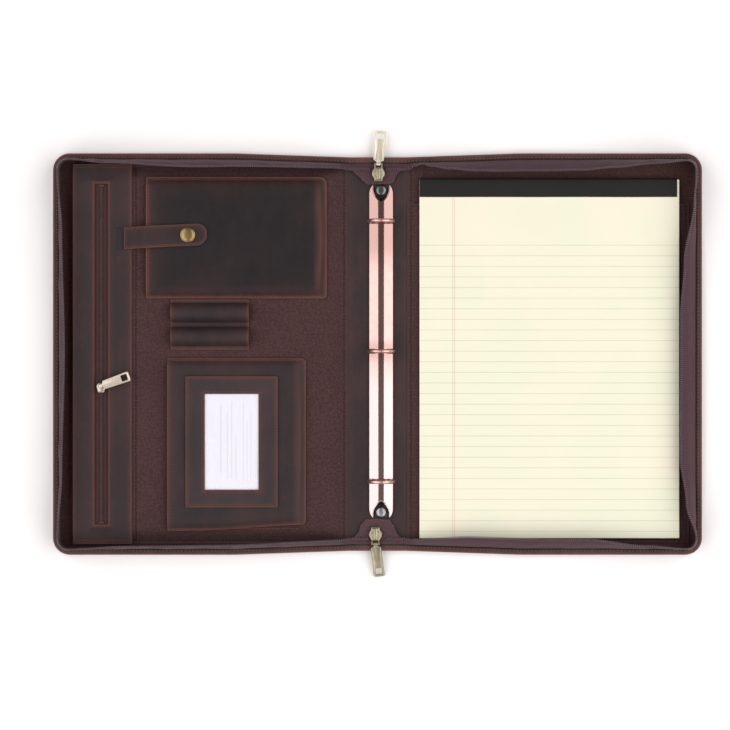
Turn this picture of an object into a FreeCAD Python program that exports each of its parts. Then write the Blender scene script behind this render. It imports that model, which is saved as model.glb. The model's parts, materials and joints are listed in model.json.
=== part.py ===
import FreeCAD, Part
import math
import os
import Sketcher

# A zip-round leather portfolio case, lying open and flat on its back.
# Millimetres. +X runs along the open case, +Y up the page, +Z away from the table.
# Origin: middle of the underside of the spine.

SIZES = [
    # the whole case
    ("case_width", 540, "open case, left edge to right edge"),
    ("case_length", 334, "top edge to bottom edge of each cover"),
    ("corner_radius", 14, "outer corners of both covers"),
    ("fold_half_width", 23.5, "spine centre line to each fold line"),
    ("edge_dip", 3.3, "how far the long edges draw in at the spine"),
    ("dip_length", 95, "length over which an edge draws in"),
    # layers, counted up from the table
    ("leather_thickness", 1.6, "outer leather"),
    ("board_thickness", 2.2, "stiffening board"),
    ("lining_thickness", 1.0, "woven lining on the board"),
    ("hem_thickness", 1.2, "turned leather edge on top of the lining"),
    ("hem_width", 5, "turned leather edge, seen from above"),
    ("fold_gap", 0.3, "between two outer leathers at a fold line"),
    ("fold_clearance", 5, "fold line to the first thick layer of a cover"),
    ("layer_gap", 0.1, "round a board inside its leather wall"),
    # gusset and main zip
    ("gusset_start", 14, "fold line to the end of the gusset"),
    ("gusset_ramp", 26, "length over which the gusset rises"),
    ("gusset_low", 3.5, "gusset height at its ends, above the lining"),
    ("gusset_height", 12.4, "gusset fabric above the lining"),
    ("gusset_thickness", 1.0, "gusset fabric"),
    ("zip_tape_height", 5.2, "zip tape above the gusset"),
    ("zip_tape_thickness", 0.8, "zip tape"),
    ("zip_coil_size", 2.0, "zip coil, height and depth"),
    # ring binder
    ("ring_centre_x", 3.0, "ring metal is set a little towards the pad"),
    ("ring_centre_y", 2.3, "middle of the ring metal along the spine"),
    ("ring_end_gap", 30.05, "end of the cover plate to the outer rings, for three-hole spacing"),
    ("ring_radius", 10, "ring, centre to wire centre"),
    ("ring_wire", 3.3, "ring wire diameter"),
    ("ring_foot_rise", 2.25857, "straight foot of a half ring above its blade"),
    ("ring_tip_gap", 0.3, "between the tips of a closed ring"),
    ("ring_foot_x", 7.0, "ring centre to the foot of each half ring"),
    ("plate_end_margin", 25.7, "end of the spine to the end of the ring cover plate"),
    ("plate_width", 20.5, "ring cover plate"),
    ("plate_rise", 3.6, "arch of the cover plate above its lips"),
    ("plate_lip", 1.8, "straight lips that stand on the lining"),
    ("plate_thickness", 0.8, "cover plate sheet"),
    ("slot_swing", 1.1, "room outside the ring wire as it swings"),
    ("slot_clearance", 0.45, "each side of the ring wire in its slot"),
    ("notch_width", 9.4, "rounded notch at each end of the plate"),
    ("tongue_lap", 1, "flat end of the plate under its arch"),
    ("notch_length", 13, "rounded notch, end of plate to its deepest point"),
    ("blade_thickness", 0.8, "toggle blades under the plate"),
    ("blade_lift", 0.5, "blade above the lining"),
    ("blade_end_gap", 1.5, "blade end to the notch"),
    ("blade_edge_gap", 0.15, "blade hinge edge to the plate lip"),
    ("rivet_inset", 4.2, "rivet centre from the end of the plate"),
    ("rivet_head", 8.2, "rivet head diameter"),
    ("rivet_head_rise", 2.6, "rivet head height"),
    ("rivet_shank", 3.6, "rivet shank diameter"),
    ("rivet_clearance", 0.15, "round the shank, on radius"),
    ("washer_width", 9, "washer under the spine board"),
    ("washer_thickness", 0.6, "washer under the spine board"),
    # main zip sliders and pulls
    ("slider_x", 0.7, "top slider centre line"),
    ("low_slider_x", -1.7, "bottom slider centre line"),
    ("slider_inset", 8.2, "spine end to the outer end of a slider"),
    ("slider_length", 12, "slider body"),
    ("slider_width", 10.4, "slider body at its crown"),
    ("slider_tail", 7, "slider body at its tail"),
    ("slider_height", 4.5, "slider body"),
    ("ear_width", 1.2, "ears that carry the bail pin"),
    ("ear_reach", 3.6, "how far the ears stand out of the slider"),
    ("bail_pin_width", 1.4, "bail pin diameter"),
    ("bail_pin_drop", 1.8, "bail pin below the top of the slider"),
    ("bail_clearance", 0.4, "pull eye round the pin, on radius"),
    ("bail_rim", 0.6, "ear metal beyond the bail pin"),
    ("shoulder_back", 6.6, "outer end to the shoulders of a slider"),
    ("shoulder_slope", 2, "length of the sloped shoulders"),
    ("crown_corner", 3, "length of the cut corners at the outer end"),
    ("crown_flat", 3.1, "half width of the flat outer end"),
    ("pull_length", 28.5, "pin to tip of a pull"),
    ("pull_width", 8.4, "pull plate"),
    ("pull_neck", 3.6, "pull neck between the ears"),
    ("pull_neck_length", 3.2, "pin to the plate of a pull"),
    ("pull_corner", 0.8, "rounded corners of the plate"),
    ("eye_wall", 0.9, "metal round the eye of a pull"),
    ("pull_thickness", 1.4, "pull plate"),
    ("pull_window", 5.2, "square hole in the tip"),
    ("pull_rim", 1.7, "metal round the square hole"),
    ("pull_droop", 14, "degrees that a pull hangs over the edge"),
    ("pull_turn", -4, "degrees that the top pull lies off straight"),
    ("low_pull_turn", 7, "degrees that the bottom pull lies off straight"),
    ("tab_gap", 0.4, "fabric tab to the ring metal"),
    ("tab_thickness", 1.2, "fabric tabs under the sliders"),
    ("tab_margin", 1, "edge of the spine board to a fabric tab"),
    ("tab_narrow", 13, "fabric tab half width at the ring metal"),
    # organiser on the front cover
    ("organizer_side_margin", 20, "case edge to the open edge of the organiser"),
    ("organizer_end_margin", 9, "case edge to the top and bottom of the organiser"),
    ("organizer_seam", 4, "sewn border of the organiser"),
    ("tablet_gap", 4.6, "room for a tablet behind the organiser"),
    ("bag_thickness", 0.6, "cloth bag behind the zip pocket"),
    ("bag_fold_gap", 36.5, "fold line to the right edge of the bag"),
    ("bag_end_margin", 16, "organiser edge to the top and bottom of the bag"),
    ("organizer_thickness", 1.0, "organiser cloth"),
    # zip pocket
    ("strip_side_margin", 17.1, "case edge to the leather zip strip"),
    ("strip_width", 49, "leather zip strip"),
    ("strip_thickness", 1.2, "leather of the zip strip"),
    ("pocket_zip_inset", 23.7, "left edge of the strip to the zip"),
    ("pocket_window_width", 10.8, "zip window"),
    ("window_end_margin", 17, "organiser edge to the ends of the zip window"),
    ("pocket_tape_width", 22, "both zip tapes together"),
    ("pocket_tape_thickness", 0.6, "zip tape"),
    ("pocket_tape_split", 0.6, "between the two tapes"),
    ("pocket_coil_width", 4.4, "closed coil"),
    ("pocket_coil_height", 1.2, "closed coil"),
    ("pocket_stop_length", 2.4, "metal stops at the ends of the coil"),
    ("pocket_slider_y", -28, "slider place at rest"),
    ("pocket_slider_width", 8.2, "slider body"),
    ("pocket_slider_height", 1.8, "slider body"),
    ("pocket_slider_gap", 0.3, "slider above the coil"),
    ("pocket_pull_length", 25, "pin to tip of the pull"),
    ("pocket_pull_width", 7.2, "pull plate"),
    ("pocket_pull_angle", 16, "degrees of the pull above the X direction"),
    ("pocket_pull_droop", 3.5, "degrees that the pull leans down"),
    ("pocket_post_gap", 5.0, "between the posts of the bail"),
    # phone pocket and strap
    ("phone_side_gap", 11.9, "zip strip to the open edge"),
    ("phone_fold_gap", 18.5, "fold line to the closed edge"),
    ("phone_low", 46, "bottom edge"),
    ("phone_end_gap", 11, "organiser edge to the top edge"),
    ("phone_gap", 5.4, "room for a phone"),
    ("pocket_leather", 1.4, "leather of the pockets"),
    ("phone_slope", 7, "length of the sloped closed end"),
    ("phone_slope_drop", 4.4, "drop of the sloped closed end"),
    ("strap_root_reach", 18.5, "strap root, left of the pocket mouth"),
    ("strap_tip_reach", 51.2, "strap tip, right of the pocket mouth"),
    ("strap_drop", 51, "top edge of the pocket to the strap centre line"),
    ("strap_width", 18.3, "strap"),
    ("strap_thickness", 1.4, "strap leather"),
    ("strap_flat", 7.5, "flat root of the strap"),
    ("strap_rest_gap", 0.7, "strap above the pocket"),
    ("strap_bed_gap", 0.15, "strap above the zip strip"),
    ("anchor_length", 5, "sewn tab at the root of the strap"),
    ("snap_reach", 35, "pocket mouth to the snap"),
    ("snap_offset", 2.5, "snap above the strap centre line"),
    ("snap_cap_width", 12.8, "snap cap diameter"),
    ("snap_cap_rise", 2.8, "snap cap height"),
    ("snap_socket_width", 8.4, "snap socket diameter"),
    ("snap_nub", 4.0, "snap stud nub diameter"),
    ("snap_nub_rise", 1.4, "snap stud nub above its flange"),
    ("snap_flange", 0.4, "snap stud flange thickness"),
    ("strap_tip_gap", 0.2, "flat left between the rounded corners of the tip"),
    ("snap_clearance", 0.4, "nub in the socket, on radius"),
    # pen loops
    ("loop_side_gap", 32.4, "zip strip to the left edge"),
    ("loop_length", 64.8, "length of the tunnels"),
    ("loop_middle", 24.5, "seam between the two tunnels"),
    ("loop_span", 15, "width of a tunnel inside"),
    ("loop_rise", 8, "height of a tunnel inside"),
    ("loop_seam", 2.4, "sewn flat between and beside the tunnels"),
    ("loop_leather", 1.2, "leather of the loops"),
    # card pocket with its window
    ("card_side_gap", 29.5, "zip strip to the open edge"),
    ("card_fold_gap", 35.9, "fold line to the closed edge"),
    ("card_end_gap", 11.2, "organiser edge to the bottom edge"),
    ("card_high", -3.3, "top edge"),
    ("card_gap", 4.5, "room inside the card pocket"),
    ("frame_left_gap", 15.4, "open edge of the pocket to the window frame"),
    ("frame_right_gap", 23.2, "closed edge of the pocket to the window frame"),
    ("frame_low_gap", 19.8, "bottom edge of the pocket to the window frame"),
    ("frame_high_gap", 15, "top edge of the pocket to the window frame"),
    ("frame_side", 16, "window frame, width of each side border"),
    ("frame_end", 14.8, "window frame, width of top and bottom border"),
    ("frame_thickness", 1.0, "leather of the window frame"),
    ("window_lap", 4, "film and card behind the frame"),
    ("window_fit", 0.3, "round the film and card"),
    ("window_film_thickness", 0.3, "clear film"),
    ("window_card_thickness", 0.35, "blank insert card"),
    # writing pad and its pocket on the back cover
    ("pad_fold_gap", 11.4, "fold line to the left edge of the pad"),
    ("pad_side_margin", 19.6, "case edge to the right edge of the pad"),
    ("pad_low_margin", 14.2, "case edge to the bottom edge of the pad"),
    ("pad_high_margin", 21, "case edge to the top edge of the pad"),
    ("pad_pocket_side_margin", 10.5, "case edge to the right edge of the pad pocket"),
    ("pad_pocket_low_margin", 10, "case edge to the bottom edge of the pad pocket"),
    ("pad_pocket_mouth_margin", 41.6, "case edge to the mouth of the pad pocket"),
    ("pad_pocket_border", 3.6, "sewn border of the pad pocket"),
    ("pad_pocket_leather", 1.0, "leather of the pad pocket"),
    ("pad_board_thickness", 0.8, "backing board of the pad"),
    ("pad_board_gap", 0.3, "above and below the backing board"),
    ("sheet_stack", 2.05, "thickness of the sheets"),
    ("top_sheet_thickness", 0.3, "the sheet that turns"),
    ("sheet_gap", 0.15, "between stacked sheets and their neighbours"),
    ("binding_depth", 15.6, "black binding strip across the top"),
    ("binding_thickness", 0.3, "binding strip"),
    ("binding_wall", 0.8, "binding over the top edge of the sheets"),
]


class Size:
    # a number that keeps the spreadsheet expression it comes from
    def __init__(self, value, text):
        self.value = value
        self.text = text

    def __float__(self):
        return float(self.value)

    def __neg__(self):
        return Size(-self.value, f"(-{self.text})")

    def __add__(self, other):
        return Size(float(self) + float(other), f"({self.text} + {written(other)})")

    def __radd__(self, other):
        return Size(float(other) + float(self), f"({written(other)} + {self.text})")

    def __sub__(self, other):
        return Size(float(self) - float(other), f"({self.text} - {written(other)})")

    def __rsub__(self, other):
        return Size(float(other) - float(self), f"({written(other)} - {self.text})")

    def __mul__(self, other):
        return Size(float(self) * float(other), f"({self.text} * {written(other)})")

    def __rmul__(self, other):
        return Size(float(other) * float(self), f"({written(other)} * {self.text})")

    def __truediv__(self, other):
        return Size(float(self) / float(other), f"({self.text} / {written(other)})")

    def root(self):
        return Size(math.sqrt(float(self)), f"sqrt({self.text})")


def written(size):
    return size.text if isinstance(size, Size) else f"({float(size)!r})"


class Sheet:
    # the spreadsheet of driving sizes, read as attributes
    def __init__(self, document, rows):
        self.cells = document.addObject("Spreadsheet::Sheet", "Sizes")
        for row, (alias, value, note) in enumerate(rows, start=1):
            self.cells.set(f"A{row}", str(value))
            self.cells.setAlias(f"A{row}", alias)
            self.cells.set(f"B{row}", note)
            setattr(self, alias, Size(value, f"Sizes.{alias}"))


doc = FreeCAD.newDocument("portfolio_case")
s = Sheet(doc, SIZES)
doc.recompute()

PLANES = {"XY": "XY_Plane", "XZ": "XZ_Plane", "YZ": "YZ_Plane"}
pieces = []


def unit(start, end):
    # direction of an edge that runs along one axis
    dx = float(end[0]) - float(start[0])
    dy = float(end[1]) - float(start[1])
    length = math.hypot(dx, dy)
    return round(dx / length), round(dy / length)


def rounded(corners):
    # corners (x, y) or (x, y, radius); a radius needs edges along the axes
    path = []
    for index, corner in enumerate(corners):
        x, y = corner[0], corner[1]
        if len(corner) == 2:
            path.append((x, y))
            continue
        radius = corner[2]
        before = unit(corners[index - 1], corner)
        after = unit(corner, corners[(index + 1) % len(corners)])
        centre = (x - before[0] * radius + after[0] * radius, y - before[1] * radius + after[1] * radius)
        left_turn = before[0] * after[1] - before[1] * after[0] > 0
        path.append((x - before[0] * radius, y - before[1] * radius, centre, left_turn))
        path.append((x + after[0] * radius, y + after[1] * radius))
    return path


def box(left, right, low, high, radius=None):
    corners = [(left, low), (right, low), (right, high), (left, high)]
    if radius is None:
        return corners
    return rounded([(x, y, radius) for x, y in corners])


def mirrored(path):
    # the same path on the other side of the spine
    turned = []
    for vertex in path:
        if len(vertex) == 2:
            turned.append((-vertex[0], vertex[1]))
        else:
            centre = (-vertex[2][0], vertex[2][1])
            turned.append((-vertex[0], vertex[1], centre, not vertex[3]))
    return turned


class Piece:
    # one named sub-part: a PartDesign body made from sketches bound to the sheet
    def __init__(self, name):
        self.name = name
        self.body = doc.addObject("PartDesign::Body", name)
        self.body.Label = name
        self.body.AllowCompound = True
        self.count = 0
        pieces.append(self.body)

    def add(self, kind, word):
        self.count += 1
        return self.body.newObject(kind, f"{self.name}_{word}{self.count}")

    def sketch(self, plane, offset, paths=(), circles=()):
        sketch = self.add("Sketcher::SketchObject", "sketch")
        role = PLANES[plane]
        support = [item for item in self.body.Origin.OriginFeatures if item.Role == role][0]
        sketch.AttachmentSupport = (support, [""])
        sketch.MapMode = "FlatFace"
        # the XZ plane looks along -Y
        offset = -offset if plane == "XZ" else offset
        sketch.setExpression("AttachmentOffset.Base.z", written(offset))
        for path in paths:
            draw(sketch, path)
        for x, y, diameter in circles:
            centre = FreeCAD.Vector(float(x), float(y), 0)
            edge = sketch.addGeometry(Part.Circle(centre, FreeCAD.Vector(0, 0, 1), float(diameter) / 2))
            fix(sketch, edge, 3, x, y)
            size = sketch.addConstraint(Sketcher.Constraint("Diameter", edge, float(diameter)))
            sketch.setExpression(f"Constraints[{size}]", written(diameter))
        return sketch

    def pad(self, low, high, paths=(), circles=(), plane="XY"):
        start = high if plane == "XZ" else low
        feature = self.add("PartDesign::Pad", "pad")
        feature.Profile = self.sketch(plane, start, paths, circles)
        feature.setExpression("Length", written(high - low))
        self.body.Tip = feature
        doc.recompute()
        return self

    def cut(self, low, high, paths=(), circles=(), plane="XY"):
        start = low if plane == "XZ" else high
        before = self.body.Shape.Volume
        feature = self.add("PartDesign::Pocket", "cut")
        feature.Profile = self.sketch(plane, start, paths, circles)
        feature.setExpression("Length", written(high - low))
        self.body.Tip = feature
        doc.recompute()
        if self.body.Shape.Volume > before - 0.01:
            raise RuntimeError(f"{self.name}: a pocket cut nothing")
        return self

    def revolve(self, axis_x, start, path, angle=360):
        # profile on an XZ plane, turned about the upright line at axis_x
        sketch = self.sketch("XZ", start, [path])
        line = Part.LineSegment(FreeCAD.Vector(float(axis_x), 0, 0), FreeCAD.Vector(float(axis_x), 50, 0))
        edge = sketch.addGeometry(line, True)
        fix(sketch, edge, 1, axis_x, 0)
        fix(sketch, edge, 2, axis_x, 50)
        feature = self.add("PartDesign::Revolution", "turn")
        feature.Profile = sketch
        feature.ReferenceAxis = (sketch, ["Axis0"])
        feature.setExpression("Angle", written(angle))
        self.body.Tip = feature
        doc.recompute()
        return self

    def fillet(self, radius, wanted):
        # rounds the straight edges whose middle point is wanted
        base = self.body.Tip
        names = []
        for index, edge in enumerate(base.Shape.Edges, start=1):
            if edge.Curve.TypeId == "Part::GeomLine" and wanted(edge):
                names.append(f"Edge{index}")
        if not names:
            raise RuntimeError(f"{self.name}: no edge to round")
        feature = self.add("PartDesign::Fillet", "round")
        feature.Base = (base, names)
        feature.setExpression("Radius", written(radius))
        self.body.Tip = feature
        doc.recompute()
        return self

    def place(self, x, y, z, yaw=0, roll=0):
        base = f"create(<<vector>>; {written(x)}; {written(y)}; {written(z)})"
        turn = f"create(<<rotation>>; {written(yaw)}; 0; {written(roll)})"
        self.body.setExpression("Placement", f"create(<<placement>>; {base}; {turn})")
        doc.recompute()
        return self


def fix(sketch, edge, point, x, y):
    for kind, size in (("DistanceX", x), ("DistanceY", y)):
        index = sketch.addConstraint(Sketcher.Constraint(kind, -1, 1, edge, point, float(size)))
        sketch.setExpression(f"Constraints[{index}]", written(size))


def draw(sketch, path):
    # a closed path; a vertex with a centre starts an arc to the next vertex
    starts = []
    for index, vertex in enumerate(path):
        following = path[(index + 1) % len(path)]
        a = FreeCAD.Vector(float(vertex[0]), float(vertex[1]), 0)
        b = FreeCAD.Vector(float(following[0]), float(following[1]), 0)
        if len(vertex) == 2:
            edge = sketch.addGeometry(Part.LineSegment(a, b))
            starts.append((edge, 1, 2))
            continue
        centre, left_turn = vertex[2], vertex[3]
        middle = FreeCAD.Vector(float(centre[0]), float(centre[1]), 0)
        first, last = (a, b) if left_turn else (b, a)
        circle = Part.Circle(middle, FreeCAD.Vector(0, 0, 1), (first - middle).Length)
        angles = [math.atan2(point.y - middle.y, point.x - middle.x) for point in (first, last)]
        edge = sketch.addGeometry(Part.ArcOfCircle(circle, angles[0], angles[1]))
        starts.append((edge, 1, 2) if left_turn else (edge, 2, 1))
    for index, (edge, start, end) in enumerate(starts):
        following = starts[(index + 1) % len(starts)]
        sketch.addConstraint(Sketcher.Constraint("Coincident", edge, end, following[0], following[1]))
        fix(sketch, edge, start, path[index][0], path[index][1])
        if len(path[index]) > 2:
            height = path[index][2][1]
            held = sketch.addConstraint(Sketcher.Constraint("DistanceY", -1, 1, edge, 3, float(height)))
            sketch.setExpression(f"Constraints[{held}]", written(height))


# heights of the layers above the table
board_bottom = s.leather_thickness
board_top = board_bottom + s.board_thickness
lining_top = board_top + s.lining_thickness
hem_top = lining_top + s.hem_thickness
half_width = s.case_width / 2
half_length = s.case_length / 2
core_start = s.fold_half_width + s.fold_clearance
spine_half_length = half_length - s.edge_dip
spine_core = s.fold_half_width - s.fold_clearance

# places on the front cover, counted leftwards from the middle of the spine
organizer_left = half_width - s.organizer_side_margin
organizer_half_length = half_length - s.organizer_end_margin
bag_right = s.fold_half_width + s.bag_fold_gap
bag_half_length = organizer_half_length - s.bag_end_margin
strip_left = half_width - s.strip_side_margin
strip_right = strip_left - s.strip_width
pocket_zip_x = strip_left - s.pocket_zip_inset
pocket_window_half = organizer_half_length - s.window_end_margin
phone_left = strip_right - s.phone_side_gap
phone_right = s.fold_half_width + s.phone_fold_gap
phone_high = organizer_half_length - s.phone_end_gap
strap_root = phone_left + s.strap_root_reach
strap_tip = phone_left - s.strap_tip_reach
strap_y = phone_high - s.strap_drop
snap_x = phone_left - s.snap_reach
snap_y = strap_y + s.snap_offset
loop_left = strip_right - s.loop_side_gap
loop_right = loop_left - s.loop_length
card_left = strip_right - s.card_side_gap
card_right = s.fold_half_width + s.card_fold_gap
card_low = s.card_end_gap - organizer_half_length
frame_left = card_left - s.frame_left_gap
frame_right = card_right + s.frame_right_gap
frame_low = card_low + s.frame_low_gap
frame_high = s.card_high - s.frame_high_gap

# places on the back cover
pad_left = s.fold_half_width + s.pad_fold_gap
pad_right = half_width - s.pad_side_margin
pad_low = s.pad_low_margin - half_length
pad_high = half_length - s.pad_high_margin
pad_pocket_right = half_width - s.pad_pocket_side_margin
pad_pocket_low = s.pad_pocket_low_margin - half_length
pad_pocket_high = half_length - s.pad_pocket_mouth_margin

# places on the spine
slider_reach = spine_half_length - s.slider_inset
plate_half = spine_half_length - s.plate_end_margin
ring_pitch = plate_half - s.ring_end_gap
tab_wide = spine_core - s.tab_margin
slot_inner = s.ring_foot_x - s.ring_wire / 2 - s.slot_clearance
slot_outer = s.ring_foot_x + s.ring_wire / 2 + s.slot_swing


def dip(x):
    # how far a long edge has drawn in at x, within the tapered stretch
    return s.edge_dip * (1 - (x - s.fold_half_width) / s.dip_length)


def cover_side(inset, start):
    # top edge of a right-hand cover from the spine outwards, as (x, y) points
    y = half_length - inset
    taper_end = s.fold_half_width + s.dip_length
    return [(start, y - dip(start)), (taper_end, y)]


def cover_outline(inset, start):
    # the whole cover, drawn in by inset on its three free sides
    x = half_width - inset
    y = half_length - inset
    radius = s.corner_radius - inset
    upper = cover_side(inset, start)
    lower = [(px, -py) for px, py in upper]
    return rounded([lower[0], lower[1], (x, -y, radius), (x, y, radius), upper[1], upper[0]])


def cover_band(outer, inner, start):
    # a band round the three free sides, between two insets
    path = []
    for inset, forward in ((outer, True), (inner, False)):
        x = half_width - inset
        y = half_length - inset
        radius = s.corner_radius - inset
        upper = cover_side(inset, start)
        lower = [(px, -py) for px, py in upper]
        corners = [lower[0], lower[1], (x, -y, radius), (x, y, radius), upper[1], upper[0]]
        path += corners if forward else corners[::-1]
    return rounded(path)


SIDES = {"back": lambda path: path, "front": mirrored}


def cover_leather(side):
    turn = SIDES[side]
    start = s.fold_half_width + s.fold_gap / 2
    wall = s.leather_thickness
    piece = Piece(f"{side}_leather")
    piece.pad(0, board_bottom, [turn(cover_outline(0, start))])
    piece.pad(board_bottom, lining_top, [turn(cover_band(0, wall, core_start))])
    piece.pad(lining_top, hem_top, [turn(cover_band(0, s.hem_width, core_start))])


def cover_layers(side):
    turn = SIDES[side]
    inset = s.leather_thickness + s.layer_gap
    outline = [turn(cover_outline(inset, core_start))]
    Piece(f"{side}_board").pad(board_bottom, board_top, outline)
    Piece(f"{side}_lining").pad(board_top, lining_top, outline)


def ramp(side, base, low, high):
    # wedge that is taken off both ends of a gusset band, as an XZ path
    start = s.fold_half_width + s.gusset_start
    end = start + s.gusset_ramp
    over = high + s.zip_coil_size
    path = [(start - 1, low), (start, low), (end, high), (end, over), (start - 1, over)]
    return SIDES[side](path)


gusset_top = lining_top + s.gusset_height
tape_top = gusset_top + s.zip_tape_height
coil_bottom = tape_top - s.zip_coil_size / 2
gusset_outer = s.hem_width
gusset_inner = s.hem_width + s.gusset_thickness


def cover_gusset(side):
    turn = SIDES[side]
    start = s.fold_half_width + s.gusset_start
    low = lining_top + s.gusset_low
    piece = Piece(f"{side}_gusset")
    piece.pad(lining_top, gusset_top, [turn(cover_band(gusset_outer, gusset_inner, start))])
    piece.cut(-half_length, half_length, [ramp(side, lining_top, low, gusset_top)], plane="XZ")


def cover_zip(side):
    turn = SIDES[side]
    start = s.fold_half_width + s.gusset_start + s.gusset_ramp
    tape_inner = gusset_outer + s.zip_tape_thickness
    tape = Piece(f"{side}_zip_tape")
    tape.pad(gusset_top, tape_top, [turn(cover_band(gusset_outer, tape_inner, start))])
    coil = Piece(f"{side}_zip_coil")
    coil_inner = tape_inner + s.zip_coil_size
    coil.pad(coil_bottom, coil_bottom + s.zip_coil_size, [turn(cover_band(tape_inner, coil_inner, start))])


def spine():
    half = s.fold_half_width - s.fold_gap / 2
    core = spine_core
    inner = spine_half_length - s.leather_thickness
    leather = Piece("spine_leather")
    leather.pad(0, board_bottom, [box(-half, half, -spine_half_length, spine_half_length)])
    for low, high, depth in (
        (board_bottom, lining_top, s.leather_thickness),
        (lining_top, hem_top, s.hem_width),
    ):
        edge = spine_half_length - depth
        ends = [box(-core, core, edge, spine_half_length), box(-core, core, -spine_half_length, -edge)]
        leather.pad(low, high, ends)
    reach = inner - s.layer_gap
    shank = s.rivet_shank + 2 * s.rivet_clearance
    washer = s.washer_width + 2 * s.rivet_clearance
    board = Piece("spine_board").pad(board_bottom, board_top, [box(-core, core, -reach, reach)])
    board.cut(board_bottom, board_top, circles=rivet_circles(shank))
    board.cut(board_bottom, board_bottom + s.washer_thickness, circles=rivet_circles(washer))
    lining = Piece("spine_lining").pad(board_top, lining_top, [box(-core, core, -reach, reach)])
    lining.cut(board_top, lining_top, circles=rivet_circles(shank))


rivet_offset = plate_half - s.rivet_inset


def rivet_circles(diameter):
    return [(s.ring_centre_x, s.ring_centre_y + side * rivet_offset, diameter) for side in (-1, 1)]


blade_bottom = lining_top + s.blade_lift
blade_top = blade_bottom + s.blade_thickness
blade_axis_z = blade_bottom + s.blade_thickness / 2
ring_drop = (s.ring_radius * s.ring_radius - s.ring_foot_x * s.ring_foot_x).root()
kink_z = blade_top + s.ring_foot_rise
ring_centre_z = kink_z + ring_drop
lip_top = lining_top + s.plate_lip
arch_top = lip_top + s.plate_rise
notch_reach = plate_half - s.notch_length
# hinge line of each blade, just inside the lip of the plate
blade_axis_x = s.plate_width / 2 - s.plate_thickness - s.blade_edge_gap - s.blade_thickness / 2


def ring_plate():
    half = s.plate_width / 2
    radius = (half * half + s.plate_rise * s.plate_rise) / (2 * s.plate_rise)
    centre_z = arch_top - radius
    inner_half = half - s.plate_thickness
    inner_radius = radius - s.plate_thickness
    inner_lip = centre_z + (inner_radius * inner_radius - inner_half * inner_half).root()
    centre = (s.ring_centre_x, centre_z)
    x = s.ring_centre_x
    path = [
        (x - half, lining_top),
        (x - inner_half, lining_top),
        (x - inner_half, inner_lip, centre, False),
        (x + inner_half, inner_lip),
        (x + inner_half, lining_top),
        (x + half, lining_top),
        (x + half, lip_top, centre, True),
        (x - half, lip_top),
    ]
    low = s.ring_centre_y - plate_half
    high = s.ring_centre_y + plate_half
    piece = Piece("ring_cover_plate").pad(low, high, [path], plane="XZ")
    slots = []
    slot_half = s.ring_wire / 2 + s.slot_clearance
    for number in (-1, 0, 1):
        y = s.ring_centre_y + number * ring_pitch
        slots.append(box(x - slot_outer, x - slot_inner, y - slot_half, y + slot_half))
        slots.append(box(x + slot_inner, x + slot_outer, y - slot_half, y + slot_half))
    piece.cut(blade_top, arch_top + 1, slots)
    width = s.notch_width / 2
    tongue_top = lining_top + s.plate_thickness
    notches = []
    tongues = []
    for side in (-1, 1):
        end = s.ring_centre_y + side * (plate_half + s.tongue_lap)
        deep = s.ring_centre_y + side * (notch_reach + width)
        start = (x - width, deep, (x, deep), side > 0)
        notches.append([(x - width, end), start, (x + width, deep), (x + width, end)])
        edge = s.ring_centre_y + side * plate_half
        root = s.ring_centre_y + side * (notch_reach + s.tongue_lap)
        tongues.append(box(x - inner_half, x + inner_half, *sorted((edge, root), key=float)))
    piece.cut(tongue_top, arch_top + 1, notches)
    piece.pad(lining_top, tongue_top, tongues)
    piece.cut(lining_top, tongue_top, circles=rivet_circles(s.rivet_shank + 2 * s.rivet_clearance))


def ring_rivets():
    seat = lining_top + s.plate_thickness
    shank = s.rivet_shank / 2
    head = s.rivet_head / 2
    rim = s.rivet_head_rise / 5
    dome = s.rivet_head_rise - rim
    radius = (head * head + dome * dome) / (2 * dome)
    x = s.ring_centre_x
    centre = (x, seat + s.rivet_head_rise - radius)
    path = [
        (x, board_bottom + s.layer_gap),
        (x + shank, board_bottom + s.layer_gap),
        (x + shank, seat),
        (x + head, seat),
        (x + head, seat + rim, centre, True),
        (x, seat + s.rivet_head_rise),
    ]
    piece = Piece("ring_rivets")
    for side in (-1, 1):
        piece.revolve(x, s.ring_centre_y + side * rivet_offset, path)
    washers = Piece("rivet_washers")
    washer_top = board_bottom + s.washer_thickness
    washers.pad(board_bottom, washer_top, circles=rivet_circles(s.washer_width))
    washers.cut(board_bottom, washer_top, circles=rivet_circles(s.rivet_shank + s.layer_gap))


def blade(side, name):
    # sheet blade whose outer edge is the rounded hinge edge
    x = s.ring_centre_x
    edge = x + side * (blade_axis_x + s.blade_thickness / 2)
    inner = x + side * s.ring_tip_gap / 2
    radius = s.blade_thickness * 0.49
    corners = [
        (inner, blade_bottom),
        (edge, blade_bottom, radius),
        (edge, blade_top, radius),
        (inner, blade_top),
    ]
    reach = notch_reach - s.blade_end_gap
    low = s.ring_centre_y - reach
    Piece(name).pad(low, s.ring_centre_y + reach, [rounded(corners)], plane="XZ")


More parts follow.
